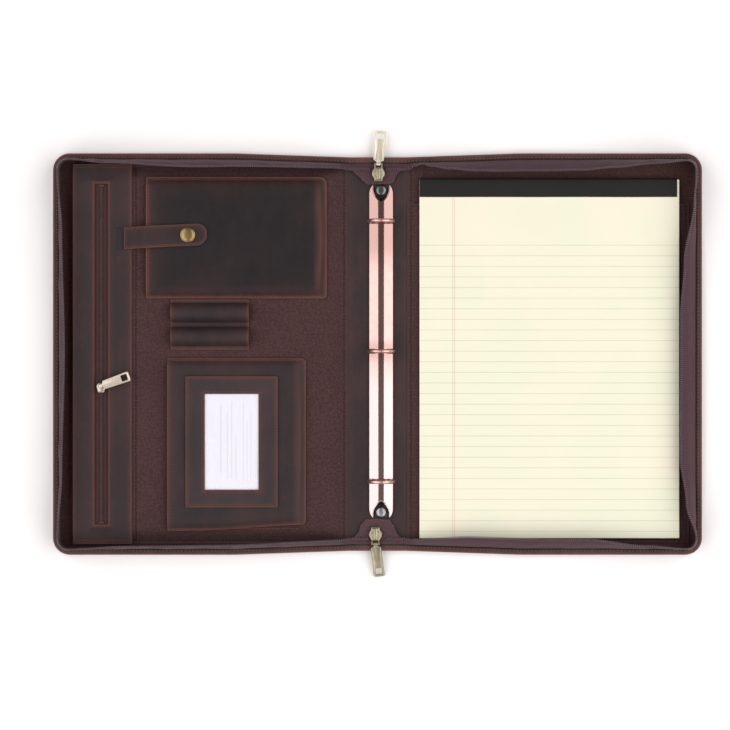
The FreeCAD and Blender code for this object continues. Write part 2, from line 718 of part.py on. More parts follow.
def half_rings(side, name):
    # three half rings that stand in one blade, each with a straight foot
    x = s.ring_centre_x
    foot = x + side * s.ring_foot_x
    rows = [s.ring_centre_y + number * ring_pitch for number in (-1, 0, 1)]
    piece = Piece(name)
    top = ring_centre_z + s.ring_radius
    sketch = piece.sketch("YZ", x, circles=[(y, top, s.ring_wire) for y in rows])
    low = FreeCAD.Vector(float(rows[0]), float(ring_centre_z), 0)
    high = FreeCAD.Vector(float(rows[2]), float(ring_centre_z), 0)
    edge = sketch.addGeometry(Part.LineSegment(low, high), True)
    fix(sketch, edge, 1, rows[0], ring_centre_z)
    fix(sketch, edge, 2, rows[2], ring_centre_z)
    turn = piece.add("PartDesign::Revolution", "turn")
    turn.Profile = sketch
    turn.ReferenceAxis = (sketch, ["Axis0"])
    past = f"(180 - asin({written(s.ring_foot_x / s.ring_radius)}) / 1deg + 6)"
    turn.setExpression("Angle", past)
    turn.Reversed = side < 0
    piece.body.Tip = turn
    doc.recompute()
    piece.pad(blade_top, kink_z + s.ring_wire / 4, circles=[(foot, y, s.ring_wire) for y in rows])
    gap = s.ring_tip_gap / 2
    slab = box(x - gap, x + gap, top - s.ring_wire, top + s.ring_wire)
    piece.cut(rows[0] - s.ring_wire, rows[2] + s.ring_wire, [slab], plane="XZ")


def zip_end_tab(side, name):
    inner = s.ring_centre_y * side + plate_half + s.tab_gap
    outer = spine_half_length - s.hem_width - s.layer_gap
    path = [
        (-tab_wide, side * outer),
        (tab_wide, side * outer),
        (s.tab_narrow, side * inner),
        (-s.tab_narrow, side * inner),
    ]
    Piece(name).pad(lining_top, lining_top + s.tab_thickness, [path])


slider_bottom = lining_top + s.tab_thickness
pin_z = slider_bottom + s.slider_height - s.bail_pin_drop
pin_reach = slider_reach + s.ear_reach - s.bail_pin_width / 2 - s.bail_rim


def main_slider(side, prefix, x):
    # local frame: outward is +Y, the pin line passes through the origin
    crown = s.slider_width / 2
    tail = s.slider_tail / 2
    out = slider_reach - pin_reach
    bottom = slider_bottom - pin_z
    top = bottom + s.slider_height
    neck = out - s.shoulder_back
    path = [
        (-tail, out - s.slider_length),
        (tail, out - s.slider_length),
        (tail, neck),
        (crown, neck + s.shoulder_slope),
        (crown, out - s.crown_corner),
        (s.crown_flat, out),
        (-s.crown_flat, out),
        (-crown, out - s.crown_corner),
        (-crown, neck + s.shoulder_slope),
        (-tail, neck),
    ]
    inner = s.pull_neck / 2 + s.bail_clearance
    outer = inner + s.ear_width
    reach = out + s.ear_reach
    root = out - s.bail_rim
    ears = [box(-outer, -inner, root, reach), box(inner, outer, root, reach)]
    ear_half = s.bail_pin_width / 2 + s.bail_rim
    yaw = 0 if side > 0 else 180
    slider = Piece(f"{prefix}_slider").pad(bottom, top, [path])
    slider.pad(-ear_half, ear_half, ears)
    slider.cut(-outer, outer, circles=[(0, 0, s.bail_pin_width)], plane="YZ")
    slider.place(x, side * pin_reach, pin_z, yaw)
    pin = Piece(f"{prefix}_bail_pin")
    pin.pad(-outer, outer, circles=[(0, 0, s.bail_pin_width)], plane="YZ")
    pin.place(x, side * pin_reach, pin_z, yaw)


def pull(name, width, length, place):
    # local frame: eye at the origin, the plate points along +Y
    half = width / 2
    eye = s.bail_pin_width / 2 + s.bail_clearance
    ring = eye + s.eye_wall
    shoulder = s.pull_neck_length
    neck = s.pull_neck / 2
    thick = s.pull_thickness / 2
    hole = s.pull_window / 2
    window_top = length - s.pull_rim
    piece = Piece(name)
    piece.pad(-neck, neck, circles=[(0, 0, ring * 2)], plane="YZ")
    piece.pad(-thick, thick, [box(-neck, neck, eye, shoulder + s.pull_corner)])
    corners = [
        (-half, shoulder),
        (half, shoulder),
        (half, length, s.pull_corner),
        (-half, length, s.pull_corner),
    ]
    piece.pad(-thick, thick, [rounded(corners)])
    piece.cut(-thick, thick, [box(-hole, hole, window_top - s.pull_window, window_top)])
    piece.cut(-neck, neck, circles=[(0, 0, eye * 2)], plane="YZ")
    piece.place(*place)


def pad_set():
    pocket_floor = lining_top + 2 * s.pad_board_gap + s.pad_board_thickness
    pocket_top = pocket_floor + s.pad_pocket_leather
    left, right = core_start, pad_pocket_right
    low, high = pad_pocket_low, pad_pocket_high
    border = s.pad_pocket_border
    panel = Piece("pad_pocket_panel")
    panel.pad(pocket_floor, pocket_top, [box(left, right, low, high)])
    rim = [
        (left, low),
        (right, low),
        (right, high),
        (right - border, high),
        (right - border, low + border),
        (left + border, low + border),
        (left + border, high),
        (left, high),
    ]
    panel.pad(lining_top, pocket_floor, [rim])
    board_low = lining_top + s.pad_board_gap
    board_high = board_low + s.pad_board_thickness
    sheets_low = pocket_top + s.sheet_gap
    sheets_high = sheets_low + s.sheet_stack
    top_low = sheets_high + s.sheet_gap
    top_high = top_low + s.top_sheet_thickness
    band_y = pad_high - s.binding_depth
    wall_y = pad_high - s.binding_wall
    glue_y = pad_pocket_high + s.pad_pocket_border
    Piece("pad_backing_board").pad(board_low, board_high, [box(pad_left, pad_right, pad_low, wall_y)])
    Piece("pad_sheets").pad(sheets_low, sheets_high, [box(pad_left, pad_right, pad_low, wall_y)])
    binding = Piece("pad_binding")
    path = [
        (glue_y, board_high),
        (wall_y, board_high),
        (wall_y, board_low),
        (pad_high, board_low),
        (pad_high, top_high),
        (band_y, top_high),
        (band_y, top_high - s.binding_thickness),
        (wall_y, top_high - s.binding_thickness),
        (wall_y, sheets_low),
        (glue_y, sheets_low),
    ]
    binding.pad(pad_left, pad_right, [path], plane="YZ")
    sheet = Piece("pad_top_sheet")
    sheet.pad(top_low, top_high, [box(pad_left, pad_right, pad_low, band_y - s.sheet_gap * 2)])


bag_bottom = lining_top + s.tablet_gap
organizer_bottom = bag_bottom + s.bag_thickness
organizer_top = organizer_bottom + s.organizer_thickness
strip_bottom = organizer_top + s.pocket_tape_thickness
strip_top = strip_bottom + s.strip_thickness


def organizer():
    left, right = organizer_left, core_start
    high = organizer_half_length
    seam = s.organizer_seam
    panel = Piece("organizer_panel")
    panel.pad(organizer_bottom, organizer_top, [box(-left, -right, -high, high)])
    rim = [
        (-left, -high),
        (-right, -high),
        (-right, high),
        (-left, high),
        (-left, high - seam),
        (-right - seam, high - seam),
        (-right - seam, seam - high),
        (-left, seam - high),
    ]
    panel.pad(lining_top, organizer_bottom, [rim])
    bag = Piece("zip_pocket_bag")
    bag_left = pocket_zip_x + s.pocket_tape_width / 2
    half = bag_half_length
    bag.pad(bag_bottom, organizer_bottom, [box(-bag_left, -bag_right, -half, half)])


def zip_pocket():
    x = -pocket_zip_x
    half = s.pocket_tape_width / 2
    split = s.pocket_tape_split / 2
    tape_half = pocket_window_half + s.window_lap
    window = s.pocket_window_width / 2
    high = organizer_half_length
    strip = Piece("zip_pocket_leather")
    recess = box(x - half, x + half, -tape_half, tape_half)
    outline = box(-strip_left, -strip_right, -high, high)
    strip.pad(organizer_top, strip_bottom, [outline, recess])
    opening = box(x - window, x + window, -pocket_window_half, pocket_window_half, s.pull_rim)
    strip.pad(strip_bottom, strip_top, [outline, opening])
    fit = s.layer_gap
    tapes = [
        box(x - half + fit, x - split, -tape_half + fit, tape_half - fit),
        box(x + split, x + half - fit, -tape_half + fit, tape_half - fit),
    ]
    Piece("pocket_zip_tapes").pad(organizer_top, strip_bottom, tapes)
    coil = s.pocket_coil_width / 2
    end = pocket_window_half - s.pocket_stop_length - s.layer_gap
    coil_top = strip_bottom + s.pocket_coil_height
    Piece("pocket_zip_coil").pad(strip_bottom, coil_top, [box(x - coil, x + coil, -end, end)])
    stops = []
    for side in (-1, 1):
        ends = sorted((side * end, side * (end + s.pocket_stop_length)), key=float)
        stops.append(box(x - coil, x + coil, *ends))
    Piece("pocket_zip_stops").pad(strip_bottom, coil_top, stops)


def pocket_slider_and_pull():
    # local frame: the pull points along +Y, origin on the bail pin
    width = s.pocket_slider_width
    body_low = strip_bottom + s.pocket_coil_height + s.pocket_slider_gap
    body_high = body_low + s.pocket_slider_height
    eye = s.bail_pin_width / 2 + s.bail_clearance + s.eye_wall
    pin = body_high + eye + s.bail_clearance
    low, high = body_low - pin, body_high - pin
    half = width / 2
    post = s.pocket_post_gap / 2
    post_out = post + s.ear_width
    thin = s.bail_pin_width / 2 + s.bail_rim
    yaw = s.pocket_pull_angle - 90
    place = (-pocket_zip_x, s.pocket_slider_y, pin, yaw)
    body = Piece("pocket_slider").pad(low, high, circles=[(0, 0, width)])
    body.pad(high, thin, [box(-post_out, -post, -thin, thin), box(post, post_out, -thin, thin)])
    body.cut(-post_out, post_out, circles=[(0, 0, s.bail_pin_width)], plane="YZ")
    body.place(*place)
    bar = Piece("pocket_bail_pin")
    bar.pad(-post_out, post_out, circles=[(0, 0, s.bail_pin_width)], plane="YZ")
    bar.place(*place)
    pull("pocket_pull", s.pocket_pull_width, s.pocket_pull_length, (*place, -s.pocket_pull_droop))


phone_top = organizer_top + s.phone_gap + s.pocket_leather
strap_bed = strip_top + s.strap_bed_gap
strap_low = phone_top + s.strap_rest_gap


def phone_pocket():
    wall = s.pocket_leather
    floor = organizer_top
    knee = phone_top - s.phone_slope_drop
    left, right = -phone_left, -phone_right
    outer = [
        (left, floor),
        (right, floor),
        (right, knee),
        (right - s.phone_slope, phone_top),
        (left, phone_top),
    ]
    inner = [
        (left - 1, floor - 1),
        (right - wall, floor - 1),
        (right - wall, knee - wall),
        (right - wall - s.phone_slope, phone_top - wall),
        (left - 1, phone_top - wall),
    ]
    piece = Piece("phone_pocket").pad(s.phone_low, phone_high, [outer], plane="XZ")
    piece.cut(s.phone_low + wall, phone_high - wall, [inner], plane="XZ")


def strap():
    half = s.strap_width / 2
    low, high = strap_y - half, strap_y + half
    thick = s.strap_thickness
    root = -strap_root
    flat = root + s.strap_flat
    ramp_end = -phone_left - 1
    path = [
        (root, strap_bed),
        (flat, strap_bed),
        (ramp_end, strap_low),
        (-strap_tip, strap_low),
        (-strap_tip, strap_low + thick),
        (ramp_end - thick / 2, strap_low + thick),
        (flat - thick / 2, strap_bed + thick),
        (root, strap_bed + thick),
    ]
    piece = Piece("phone_strap").pad(low, high, [path], plane="XZ")
    socket = s.snap_socket_width
    piece.cut(strap_low, strap_low + thick, circles=[(-snap_x, snap_y, socket)])
    tip_x = -float(strap_tip)
    upright = lambda edge: abs(edge.CenterOfMass.x - tip_x) < 0.01 and edge.BoundBox.ZLength > 0.5
    piece.fillet(half - s.strap_tip_gap, upright)
    anchor = Piece("strap_anchor")
    anchor_left = root - s.layer_gap - s.anchor_length
    anchor.pad(strip_top, strip_top + thick, [box(anchor_left, root - s.layer_gap, low, high, s.pull_rim)])


def snap():
    x, y = -snap_x, snap_y
    top = strap_low + s.strap_thickness
    bore = s.snap_nub + 2 * s.snap_clearance
    socket = Piece("snap_socket")
    socket.pad(strap_low, top, circles=[(x, y, s.snap_socket_width)])
    socket.cut(strap_low, top, circles=[(x, y, bore)])
    flange_top = phone_top + s.snap_flange
    stud = Piece("snap_stud")
    stud.pad(phone_top, flange_top, circles=[(x, y, s.snap_socket_width)])
    stud.pad(flange_top, flange_top + s.snap_nub_rise, circles=[(x, y, s.snap_nub)])
    head = s.snap_cap_width / 2
    rim = s.snap_cap_rise / 4
    dome = s.snap_cap_rise - rim
    radius = (head * head + dome * dome) / (2 * dome)
    centre = (x, top + s.snap_cap_rise - radius)
    path = [(x, top), (x + head, top), (x + head, top + rim, centre, True), (x, top + s.snap_cap_rise)]
    Piece("snap_cap").revolve(x, y, path)


def pen_loops():
    floor = organizer_top
    wall = s.loop_leather
    half = s.loop_span / 2
    pitch = s.loop_span + 2 * wall + s.loop_seam
    inner_radius = (half * half + s.loop_rise * s.loop_rise) / (2 * s.loop_rise)
    centre_z = floor + s.loop_rise - inner_radius
    outer_radius = inner_radius + wall
    drop = centre_z - floor
    outer_half = (outer_radius * outer_radius - drop * drop).root()
    strip_half = pitch / 2 + outer_half + s.loop_seam
    middle = s.loop_middle
    piece = Piece("pen_loops")
    left, right = -loop_left, -loop_right
    for side in (-1, 1):
        y = middle + side * pitch / 2
        centre = (y, centre_z)
        outer = [(y - outer_half, floor), (y + outer_half, floor, centre, True)]
        piece.pad(left, right, [outer], plane="YZ")
    piece.pad(floor, floor + wall, [box(left, right, middle - strip_half, middle + strip_half)])
    for side in (-1, 1):
        y = middle + side * pitch / 2
        inner = [(y - half, floor), (y + half, floor, (y, centre_z), True)]
        piece.cut(left, right, [inner], plane="YZ")


card_top = organizer_top + s.card_gap + s.pocket_leather


def card_pocket():
    wall = s.pocket_leather
    left, right = -card_left, -card_right
    piece = Piece("card_pocket")
    piece.pad(organizer_top, card_top, [box(left, right, card_low, s.card_high)])
    inner = box(left, right - wall, organizer_top, card_top - wall)
    piece.cut(card_low + wall, s.card_high - wall, [inner], plane="XZ")


def card_window():
    left, right = -frame_left, -frame_right
    low, high = frame_low, frame_high
    film_low = card_top + s.window_card_thickness
    film_high = film_low + s.window_film_thickness
    lap_x = s.frame_side - s.window_lap
    lap_y = s.frame_end - s.window_lap
    outline = box(left, right, low, high)
    recess = box(left + lap_x, right - lap_x, low + lap_y, high - lap_y)
    opening = box(left + s.frame_side, right - s.frame_side, low + s.frame_end, high - s.frame_end)
    frame = Piece("window_frame")
    frame.pad(card_top, film_high, [outline, recess])
    frame.pad(film_high, film_high + s.frame_thickness, [outline, opening])
    fit_x = lap_x + s.window_fit
    fit_y = lap_y + s.window_fit
    sheet = [box(left + fit_x, right - fit_x, low + fit_y, high - fit_y)]
    Piece("window_card").pad(card_top, film_low, sheet)
    Piece("window_film").pad(film_low, film_high, sheet)


for side in ("back", "front"):
    cover_leather(side)
    cover_layers(side)
    cover_gusset(side)
    cover_zip(side)
spine()
ring_plate()
ring_rivets()
for side, word in ((-1, "left"), (1, "right")):
    blade(side, f"{word}_blade")
    half_rings(side, f"{word}_half_rings")
for side, prefix, x, turn in (
    (1, "top", s.slider_x, s.pull_turn),
    (-1, "bottom", s.low_slider_x, s.low_pull_turn + 180),
):
    zip_end_tab(side, f"zip_end_tab_{prefix}")
    main_slider(side, prefix, x)
    pull(f"{prefix}_pull", s.pull_width, s.pull_length, (x, side * pin_reach, pin_z, turn, -s.pull_droop))
pad_set()
organizer()
zip_pocket()
pocket_slider_and_pull()
phone_pocket()
strap()
snap()
pen_loops()
card_pocket()
card_window()
doc.recompute()

for item in doc.Objects:
    if "Invalid" in item.State or "Error" in item.State:
        raise RuntimeError(f"{item.Name} failed: {item.State}")
for body in pieces:
    if body.Shape.isNull() or not body.Shape.isValid() or not body.Shape.Solids:
        raise RuntimeError(f"{body.Label} has no valid solid")

os.makedirs("parts", exist_ok=True)
for body in pieces:
    body.Shape.exportStep(os.path.join("parts", f"{body.Label}.step"))
print(f"{len(pieces)} sub-parts written")
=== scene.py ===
import bisect
import bmesh
import bpy
import json
import math
import random
from mathutils import Matrix, Vector


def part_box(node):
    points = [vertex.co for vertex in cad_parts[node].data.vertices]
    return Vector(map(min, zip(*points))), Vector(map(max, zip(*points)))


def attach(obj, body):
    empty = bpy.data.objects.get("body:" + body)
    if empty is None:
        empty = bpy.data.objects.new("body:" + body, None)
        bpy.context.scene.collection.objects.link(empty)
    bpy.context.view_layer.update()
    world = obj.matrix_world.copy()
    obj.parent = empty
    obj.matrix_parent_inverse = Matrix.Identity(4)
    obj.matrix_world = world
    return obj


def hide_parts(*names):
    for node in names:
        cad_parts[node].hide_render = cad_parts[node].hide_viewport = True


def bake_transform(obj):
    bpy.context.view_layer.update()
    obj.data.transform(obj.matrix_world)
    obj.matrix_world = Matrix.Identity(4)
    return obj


# A zip-round leather portfolio, open and flat. Shapes are worked out in millimetres.

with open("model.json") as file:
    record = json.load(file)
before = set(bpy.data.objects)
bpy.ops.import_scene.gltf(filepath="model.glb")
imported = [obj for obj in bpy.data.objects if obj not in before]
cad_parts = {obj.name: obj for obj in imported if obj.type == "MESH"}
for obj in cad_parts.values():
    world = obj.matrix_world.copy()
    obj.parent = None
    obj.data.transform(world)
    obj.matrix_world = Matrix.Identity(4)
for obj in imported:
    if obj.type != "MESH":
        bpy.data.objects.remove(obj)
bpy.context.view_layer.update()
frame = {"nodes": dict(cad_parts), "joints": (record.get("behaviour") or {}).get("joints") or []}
mm = 0.001
random.seed(7)


def cadLimits(node):
    low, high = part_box(node)
    return [v / mm for v in low], [v / mm for v in high]


def outline(low, high):
    # left, low, right and high edge, seen from above
    return low[0], low[1], high[0], high[1]


def jointPlace(name):
    for joint in frame["joints"]:
        if joint["name"] == name:
            return [v / mm for v in joint["pos_m"]]


def mix(a, b, share):
    return a + (b - a) * share


def ease(value):
    # 0 to 1 with a soft start and end
    value = min(max(value, 0.0), 1.0)
    return value * value * (3 - 2 * value)


def tableAt(table, value):
    # smooth reading of a short table of (place, value, value, ...) rows
    if value <= table[0][0]:
        return table[0][1:]
    for before, after in zip(table, table[1:]):
        if value <= after[0]:
            share = ease((value - before[0]) / (after[0] - before[0]))
            return tuple(mix(a, b, share) for a, b in zip(before[1:], after[1:]))
    return table[-1][1:]


def colour(red, green, blue):
    # screen colour, 0 to 255, as the linear value that a shader takes
    def linear(v):
        v = v / 255
        return v / 12.92 if v <= 0.04045 else ((v + 0.055) / 1.055) ** 2.4
    return (linear(red), linear(green), linear(blue), 1.0)


class Wire:
    # a socket that takes part in sums
    def __init__(self, paint, socket):
        self.paint = paint
        self.socket = socket

    def maths(self, operation, first, second=0.0, clamp=False):
        return self.paint.node("Math", {"operation": operation, "use_clamp": clamp}, {0: first, 1: second})

    def __add__(self, other):
        return self.maths("ADD", self, other)

    def __radd__(self, other):
        return self.maths("ADD", other, self)

    def __sub__(self, other):
        return self.maths("SUBTRACT", self, other)

    def __rsub__(self, other):
        return self.maths("SUBTRACT", other, self)

    def __mul__(self, other):
        return self.maths("MULTIPLY", self, other)

    def __rmul__(self, other):
        return self.maths("MULTIPLY", other, self)

    def __truediv__(self, other):
        return self.maths("DIVIDE", self, other)

    def __rtruediv__(self, other):
        return self.maths("DIVIDE", other, self)

    def __abs__(self):
        return self.maths("ABSOLUTE", self)

    def sine(self):
        return self.maths("SINE", self)

    def whole(self):
        return self.maths("FLOOR", self)

    def held(self):
        return self.maths("ADD", self, 0.0, True)


class Paint:
    # one material on a Principled shader
    def __init__(self, name, **constants):
        self.material = bpy.data.materials.new(name)
        self.material.use_nodes = True
        self.tree = self.material.node_tree
        self.tree.nodes.clear()
        self.shader = self.node("BsdfPrincipled").socket.node
        self.node("OutputMaterial", {}, {"Surface": Wire(self, self.shader.outputs[0])}, None)
        for socket, value in constants.items():
            self.shader.inputs[socket.replace("_", " ")].default_value = value
        self.spot = self.node("VectorMath", {"operation": "SCALE"}, {
            0: self.node("TexCoord", {}, {}, "Object"),
            "Scale": 1 / mm,
        })
        split = self.node("SeparateXYZ", {}, {0: self.spot}).socket.node
        self.x, self.y, self.z = [Wire(self, socket) for socket in split.outputs]

    def node(self, kind, settings=None, values=None, out=0):
        made = self.tree.nodes.new("ShaderNode" + kind)
        for name, value in (settings or {}).items():
            setattr(made, name, value)
        for name, value in (values or {}).items():
            if isinstance(value, Wire):
                self.tree.links.new(value.socket, made.inputs[name])
            else:
                made.inputs[name].default_value = value
        return None if out is None else Wire(self, made.outputs[out])

    def noise(self, size, detail=3.0, rough=0.55, stretch=None, shift=0.0):
        # size is the width of one blotch in mm
        place = self.spot
        if stretch:
            place = self.node("VectorMath", {"operation": "MULTIPLY"}, {0: place, 1: stretch})
        if shift:
            place = self.node("VectorMath", {"operation": "ADD"}, {0: place, 1: (shift, shift, shift)})
        return self.node("TexNoise", {}, {
            "Vector": place, "Scale": 1 / size, "Detail": detail, "Roughness": rough,
        }, "Fac")

    def cells(self, size, feature="F1"):
        values = {"Vector": self.spot, "Scale": 1 / size}
        return self.node("TexVoronoi", {"feature": feature}, values, "Distance")

    def grey(self, value, low, high, start=0.0, end=1.0):
        return self.node("MapRange", {"interpolation_type": "SMOOTHSTEP"}, {
            "Value": value, "From Min": low, "From Max": high, "To Min": start, "To Max": end,
        })

    def blend(self, share, first, second):
        # first and second are wires or screen colours
        ends = [v if isinstance(v, Wire) else colour(*v) for v in (first, second)]
        return self.node("Mix", {"data_type": "RGBA"}, {0: share, 6: ends[0], 7: ends[1]}, 2)

    def rub(self):
        return self.node("Attribute", {"attribute_name": "rub"}, {}, "Fac")

    def bump(self, height, depth, strength=1.0, under=None):
        # depth is the height of the relief in mm
        values = {"Height": height, "Distance": depth * mm, "Strength": strength}
        if under:
            values["Normal"] = under
        return self.node("Bump", {}, values)

    def weave(self, pitch):
        # plain weave: threads go over and under in a chequer
        u = self.x / pitch
        v = self.y / pitch
        warp = abs((u * math.pi).sine())
        weft = abs((v * math.pi).sine())
        half = (u.whole() + v.whole()) * 0.5
        over = (half - half.whole()) * 2
        return over * warp + (1 - over) * weft

    def feed(self, base, rough, relief):
        for socket, wire in (("Base Color", base), ("Roughness", rough), ("Normal", relief)):
            if wire:
                self.tree.links.new(wire.socket, self.shader.inputs[socket])
        return self.material


leatherLook = {
    "grainSize": 0.75,
    "wrinkleSize": 3.2,
    "blotchSize": 46,
    "grainDepth": 0.09,
    "wrinkleDepth": 0.16,
}


def waxedLeather(name, dark, warm, edge, wear=1.0, gloss=0.0):
    look = leatherLook
    paint = Paint(name, Specular_IOR_Level=0.2)
    blotch = paint.noise(look["blotchSize"], 5.0, 0.62)
    streak = paint.noise(9, 4.0, 0.6, (1.0, 0.22, 1.0), 31.0)
    fine = paint.noise(1.1, 2.0, 0.5, None, 77.0)
    base = paint.blend(paint.grey(blotch * 0.7 + streak * 0.3, 0.40, 0.62), dark, warm)
    base = paint.blend(paint.grey(fine, 0.35, 0.75) * 0.35, base, warm)
    # the rub attribute is edge wear, and on the pockets it also holds a painted highlight along the bulge
    worn = paint.rub() * wear * (0.55 + 0.9 * streak) + paint.grey(blotch, 0.62, 0.80) * 0.12
    base = paint.blend(worn.held(), base, edge)
    pore = paint.cells(look["grainSize"])
    crease = paint.grey(paint.cells(look["wrinkleSize"], "DISTANCE_TO_EDGE"), 0.0, 0.12)
    relief = paint.bump(pore, look["grainDepth"], 0.6)
    folds = crease * 0.35 + paint.noise(6, 3.0, 0.6) * 0.9
    relief = paint.bump(folds, look["wrinkleDepth"], 0.55, relief)
    return paint.feed(base, paint.grey(streak, 0.3, 0.75, 0.50 - gloss, 0.66 - gloss), relief)


def wovenCloth(name, deep, light, pitch, depth=0.12, fuzz=0.5):
    paint = Paint(name, Specular_IOR_Level=0.12, Sheen_Weight=0.06, Sheen_Roughness=0.5)
    thread = paint.weave(pitch)
    slub = paint.noise(pitch * 1.5, 2.0, 0.6)
    cloud = paint.noise(38, 3.0, 0.5, None, 12.0)
    share = thread * 0.35 + paint.grey(slub, 0.28, 0.72) * fuzz + cloud * 0.3
    base = paint.blend(share.held(), deep, light)
    base = paint.blend(paint.rub() * 0.6, base, light)
    relief = paint.bump(thread, depth, 0.7, paint.bump(slub, depth, 0.5))
    return paint.feed(base, paint.grey(slub, 0.2, 0.8, 0.72, 0.9), relief)


def ribbedTape(name, deep, light, pitch, direction="y"):
    paint = Paint(name, Specular_IOR_Level=0.15, Sheen_Weight=0.05)
    rib = abs((getattr(paint, direction) * (math.pi / pitch)).sine())
    fluff = paint.noise(0.9, 2.0, 0.6)
    base = paint.blend((rib * 0.5 + fluff * 0.5).held(), deep, light)
    return paint.feed(base, fluff * 0.2 + 0.65, paint.bump(rib + fluff * 0.6, 0.12, 0.7))


# tones of the painted reflection on the copper plate, and where along its length they are laid
plateReflectionLook = {
    "pale": (205, 187, 186),
    "deep": (176, 143, 137),
    "paleFrom": (-35, -8),      # distances from the middle ring
    "deepFrom": (60, 90),
    "ringReflection": (3, 12),
}


def paintedPlateReflection(paint, base):
    # painted reflection on the copper: paler towards one end, deeper at the other and beside the middle ring
    look = plateReflectionLook
    reach = paint.y - plateY
    base = paint.blend(paint.grey(reach, *look["paleFrom"], 1, 0), base, look["pale"])
    darkReflection = paint.grey(reach, *look["deepFrom"]) + paint.grey(abs(reach), *look["ringReflection"], 0.8, 0)
    return paint.blend(darkReflection.held(), base, look["deep"])


def polishedMetal(name, tint, worn, rough, brushed=(1.0, 1.0, 1.0), scratch=0.05, shade=None):
    paint = Paint(name, Metallic=1.0)
    haze = paint.noise(7, 3.0, 0.6)
    line = paint.noise(0.5, 2.0, 0.6, brushed, 5.0)
    share = paint.grey(haze, 0.4, 0.7) * 0.4 + paint.rub() * 0.6
    base = paint.blend(share.held(), tint, worn)
    if shade:
        base = shade(paint, base)
    rougher = haze * (rough * 0.5) + line * scratch + rough * 0.75
    return paint.feed(base, rougher, paint.bump(line, 0.01, 0.3))


def sewingThread(name, deep, light):
    paint = Paint(name, Specular_IOR_Level=0.35)
    twist = abs(((paint.x + paint.y) * (math.pi / 0.35)).sine())
    base = paint.blend(twist * 0.6 + paint.noise(2.5) * 0.4, deep, light)
    return paint.feed(base, twist * 0.15 + 0.6, paint.bump(twist, 0.06, 0.6))


def nylonCoil(name, deep, light):
    paint = Paint(name, Specular_IOR_Level=0.5)
    haze = paint.noise(4)
    relief = paint.bump(paint.noise(0.5), 0.03, 0.4)
    return paint.feed(paint.blend(haze, deep, light), haze * 0.15 + 0.3, relief)


padLook = {
    "rulePitch": 8.8,
    "firstRule": 55.6,      # below the top of the pad
    "ruleWidth": 0.5,
    "marginInset": 27.6,    # from the left edge of the pad
    "marginGap": 1.5,
}


def ruledPaper(name, left, top):
    look = padLook
    paint = Paint(name, Specular_IOR_Level=0.25)
    cloud = paint.noise(70, 3.0, 0.5)
    fibre = paint.noise(1.2, 3.0, 0.6)
    base = paint.blend(paint.grey(cloud, 0.35, 0.65), (239, 235, 214), (233, 235, 212))
    base = paint.blend(paint.grey(fibre, 0.3, 0.8) * 0.12, base, (224, 220, 198))
    down = (top - look["firstRule"] - paint.y) / look["rulePitch"]
    offset = abs(down - (down + 0.5).whole()) * look["rulePitch"]
    rule = (1.0 - offset / look["ruleWidth"]).held() * paint.grey(down, -0.4, -0.3)
    base = paint.blend(rule * (0.2 + 0.42 * cloud), base, (150, 166, 146))
    lines = 0.0
    for number in (0, 1):
        gap = abs(paint.x - (left + look["marginInset"] + number * look["marginGap"]))
        lines = lines + (1.0 - gap / look["ruleWidth"]).held()
    base = paint.blend(lines * 0.5, base, (206, 150, 132))
    return paint.feed(base, fibre * 0.2 + 0.7, paint.bump(fibre, 0.03, 0.3))


def pageEdges(name):
    paint = Paint(name, Specular_IOR_Level=0.2)
    leaf = abs((paint.z * (math.pi / 0.22)).sine())
    wave = paint.noise(14, 2.0, 0.5, (1.0, 1.0, 6.0))
    base = paint.blend(leaf * 0.5 + wave * 0.3, (205, 200, 176), (246, 243, 224))
    return paint.feed(base, wave * 0.2 + 0.7, paint.bump(leaf, 0.08, 0.6))


def plainBoard(name, deep, light, rough=0.7, depth=0.05):
    paint = Paint(name, Specular_IOR_Level=0.25)
    fibre = paint.noise(0.8, 3.0, 0.65)
    cloud = paint.noise(25, 3.0, 0.5)
    base = paint.blend(fibre * 0.6 + cloud * 0.4, deep, light)
    return paint.feed(base, fibre * 0.2 + (rough - 0.1), paint.bump(fibre, depth, 0.5))


cardLook = {
    # place across the card, width in mm, and where each line starts and ends
    "lines": ((0.30, 0.9, 0.16, 0.88), (0.42, 0.6, 0.10, 0.80), (0.50, 0.6, 0.10, 0.92),
              (0.58, 0.6, 0.10, 0.55), (0.72, 0.5, 0.08, 0.90), (0.79, 0.5, 0.08, 0.70),
              (0.86, 0.5, 0.08, 0.84)),
}


def insertCard(name, left, low, right, high):
    # white card with faint plain lines, as a blank form has
    paint = Paint(name, Specular_IOR_Level=0.3)
    across = (paint.x - left) / (right - left)
    upward = (paint.y - low) / (high - low)
    ink = 0.0
    for place, width, start, end in cardLook["lines"]:
        line = (1.0 - abs(across - place) * ((right - left) / width)).held()
        span = paint.grey(upward, start, start + 0.02) * (1.0 - paint.grey(upward, end, end + 0.02))
        ink = ink + line * span
    base = paint.blend(ink * 0.28, (246, 244, 250), (120, 130, 150))
    fibre = paint.noise(1.5)
    return paint.feed(base, fibre * 0.15 + 0.5, paint.bump(fibre, 0.02, 0.2))


def clearFilm(name):
    paint = Paint(name, Alpha=0.16, Roughness=0.12, Specular_IOR_Level=0.5)
    wave = paint.noise(18, 2.0, 0.5)
    base = paint.blend(wave, (240, 242, 250), (225, 230, 245))
    return paint.feed(base, None, paint.bump(wave, 0.35, 0.35))


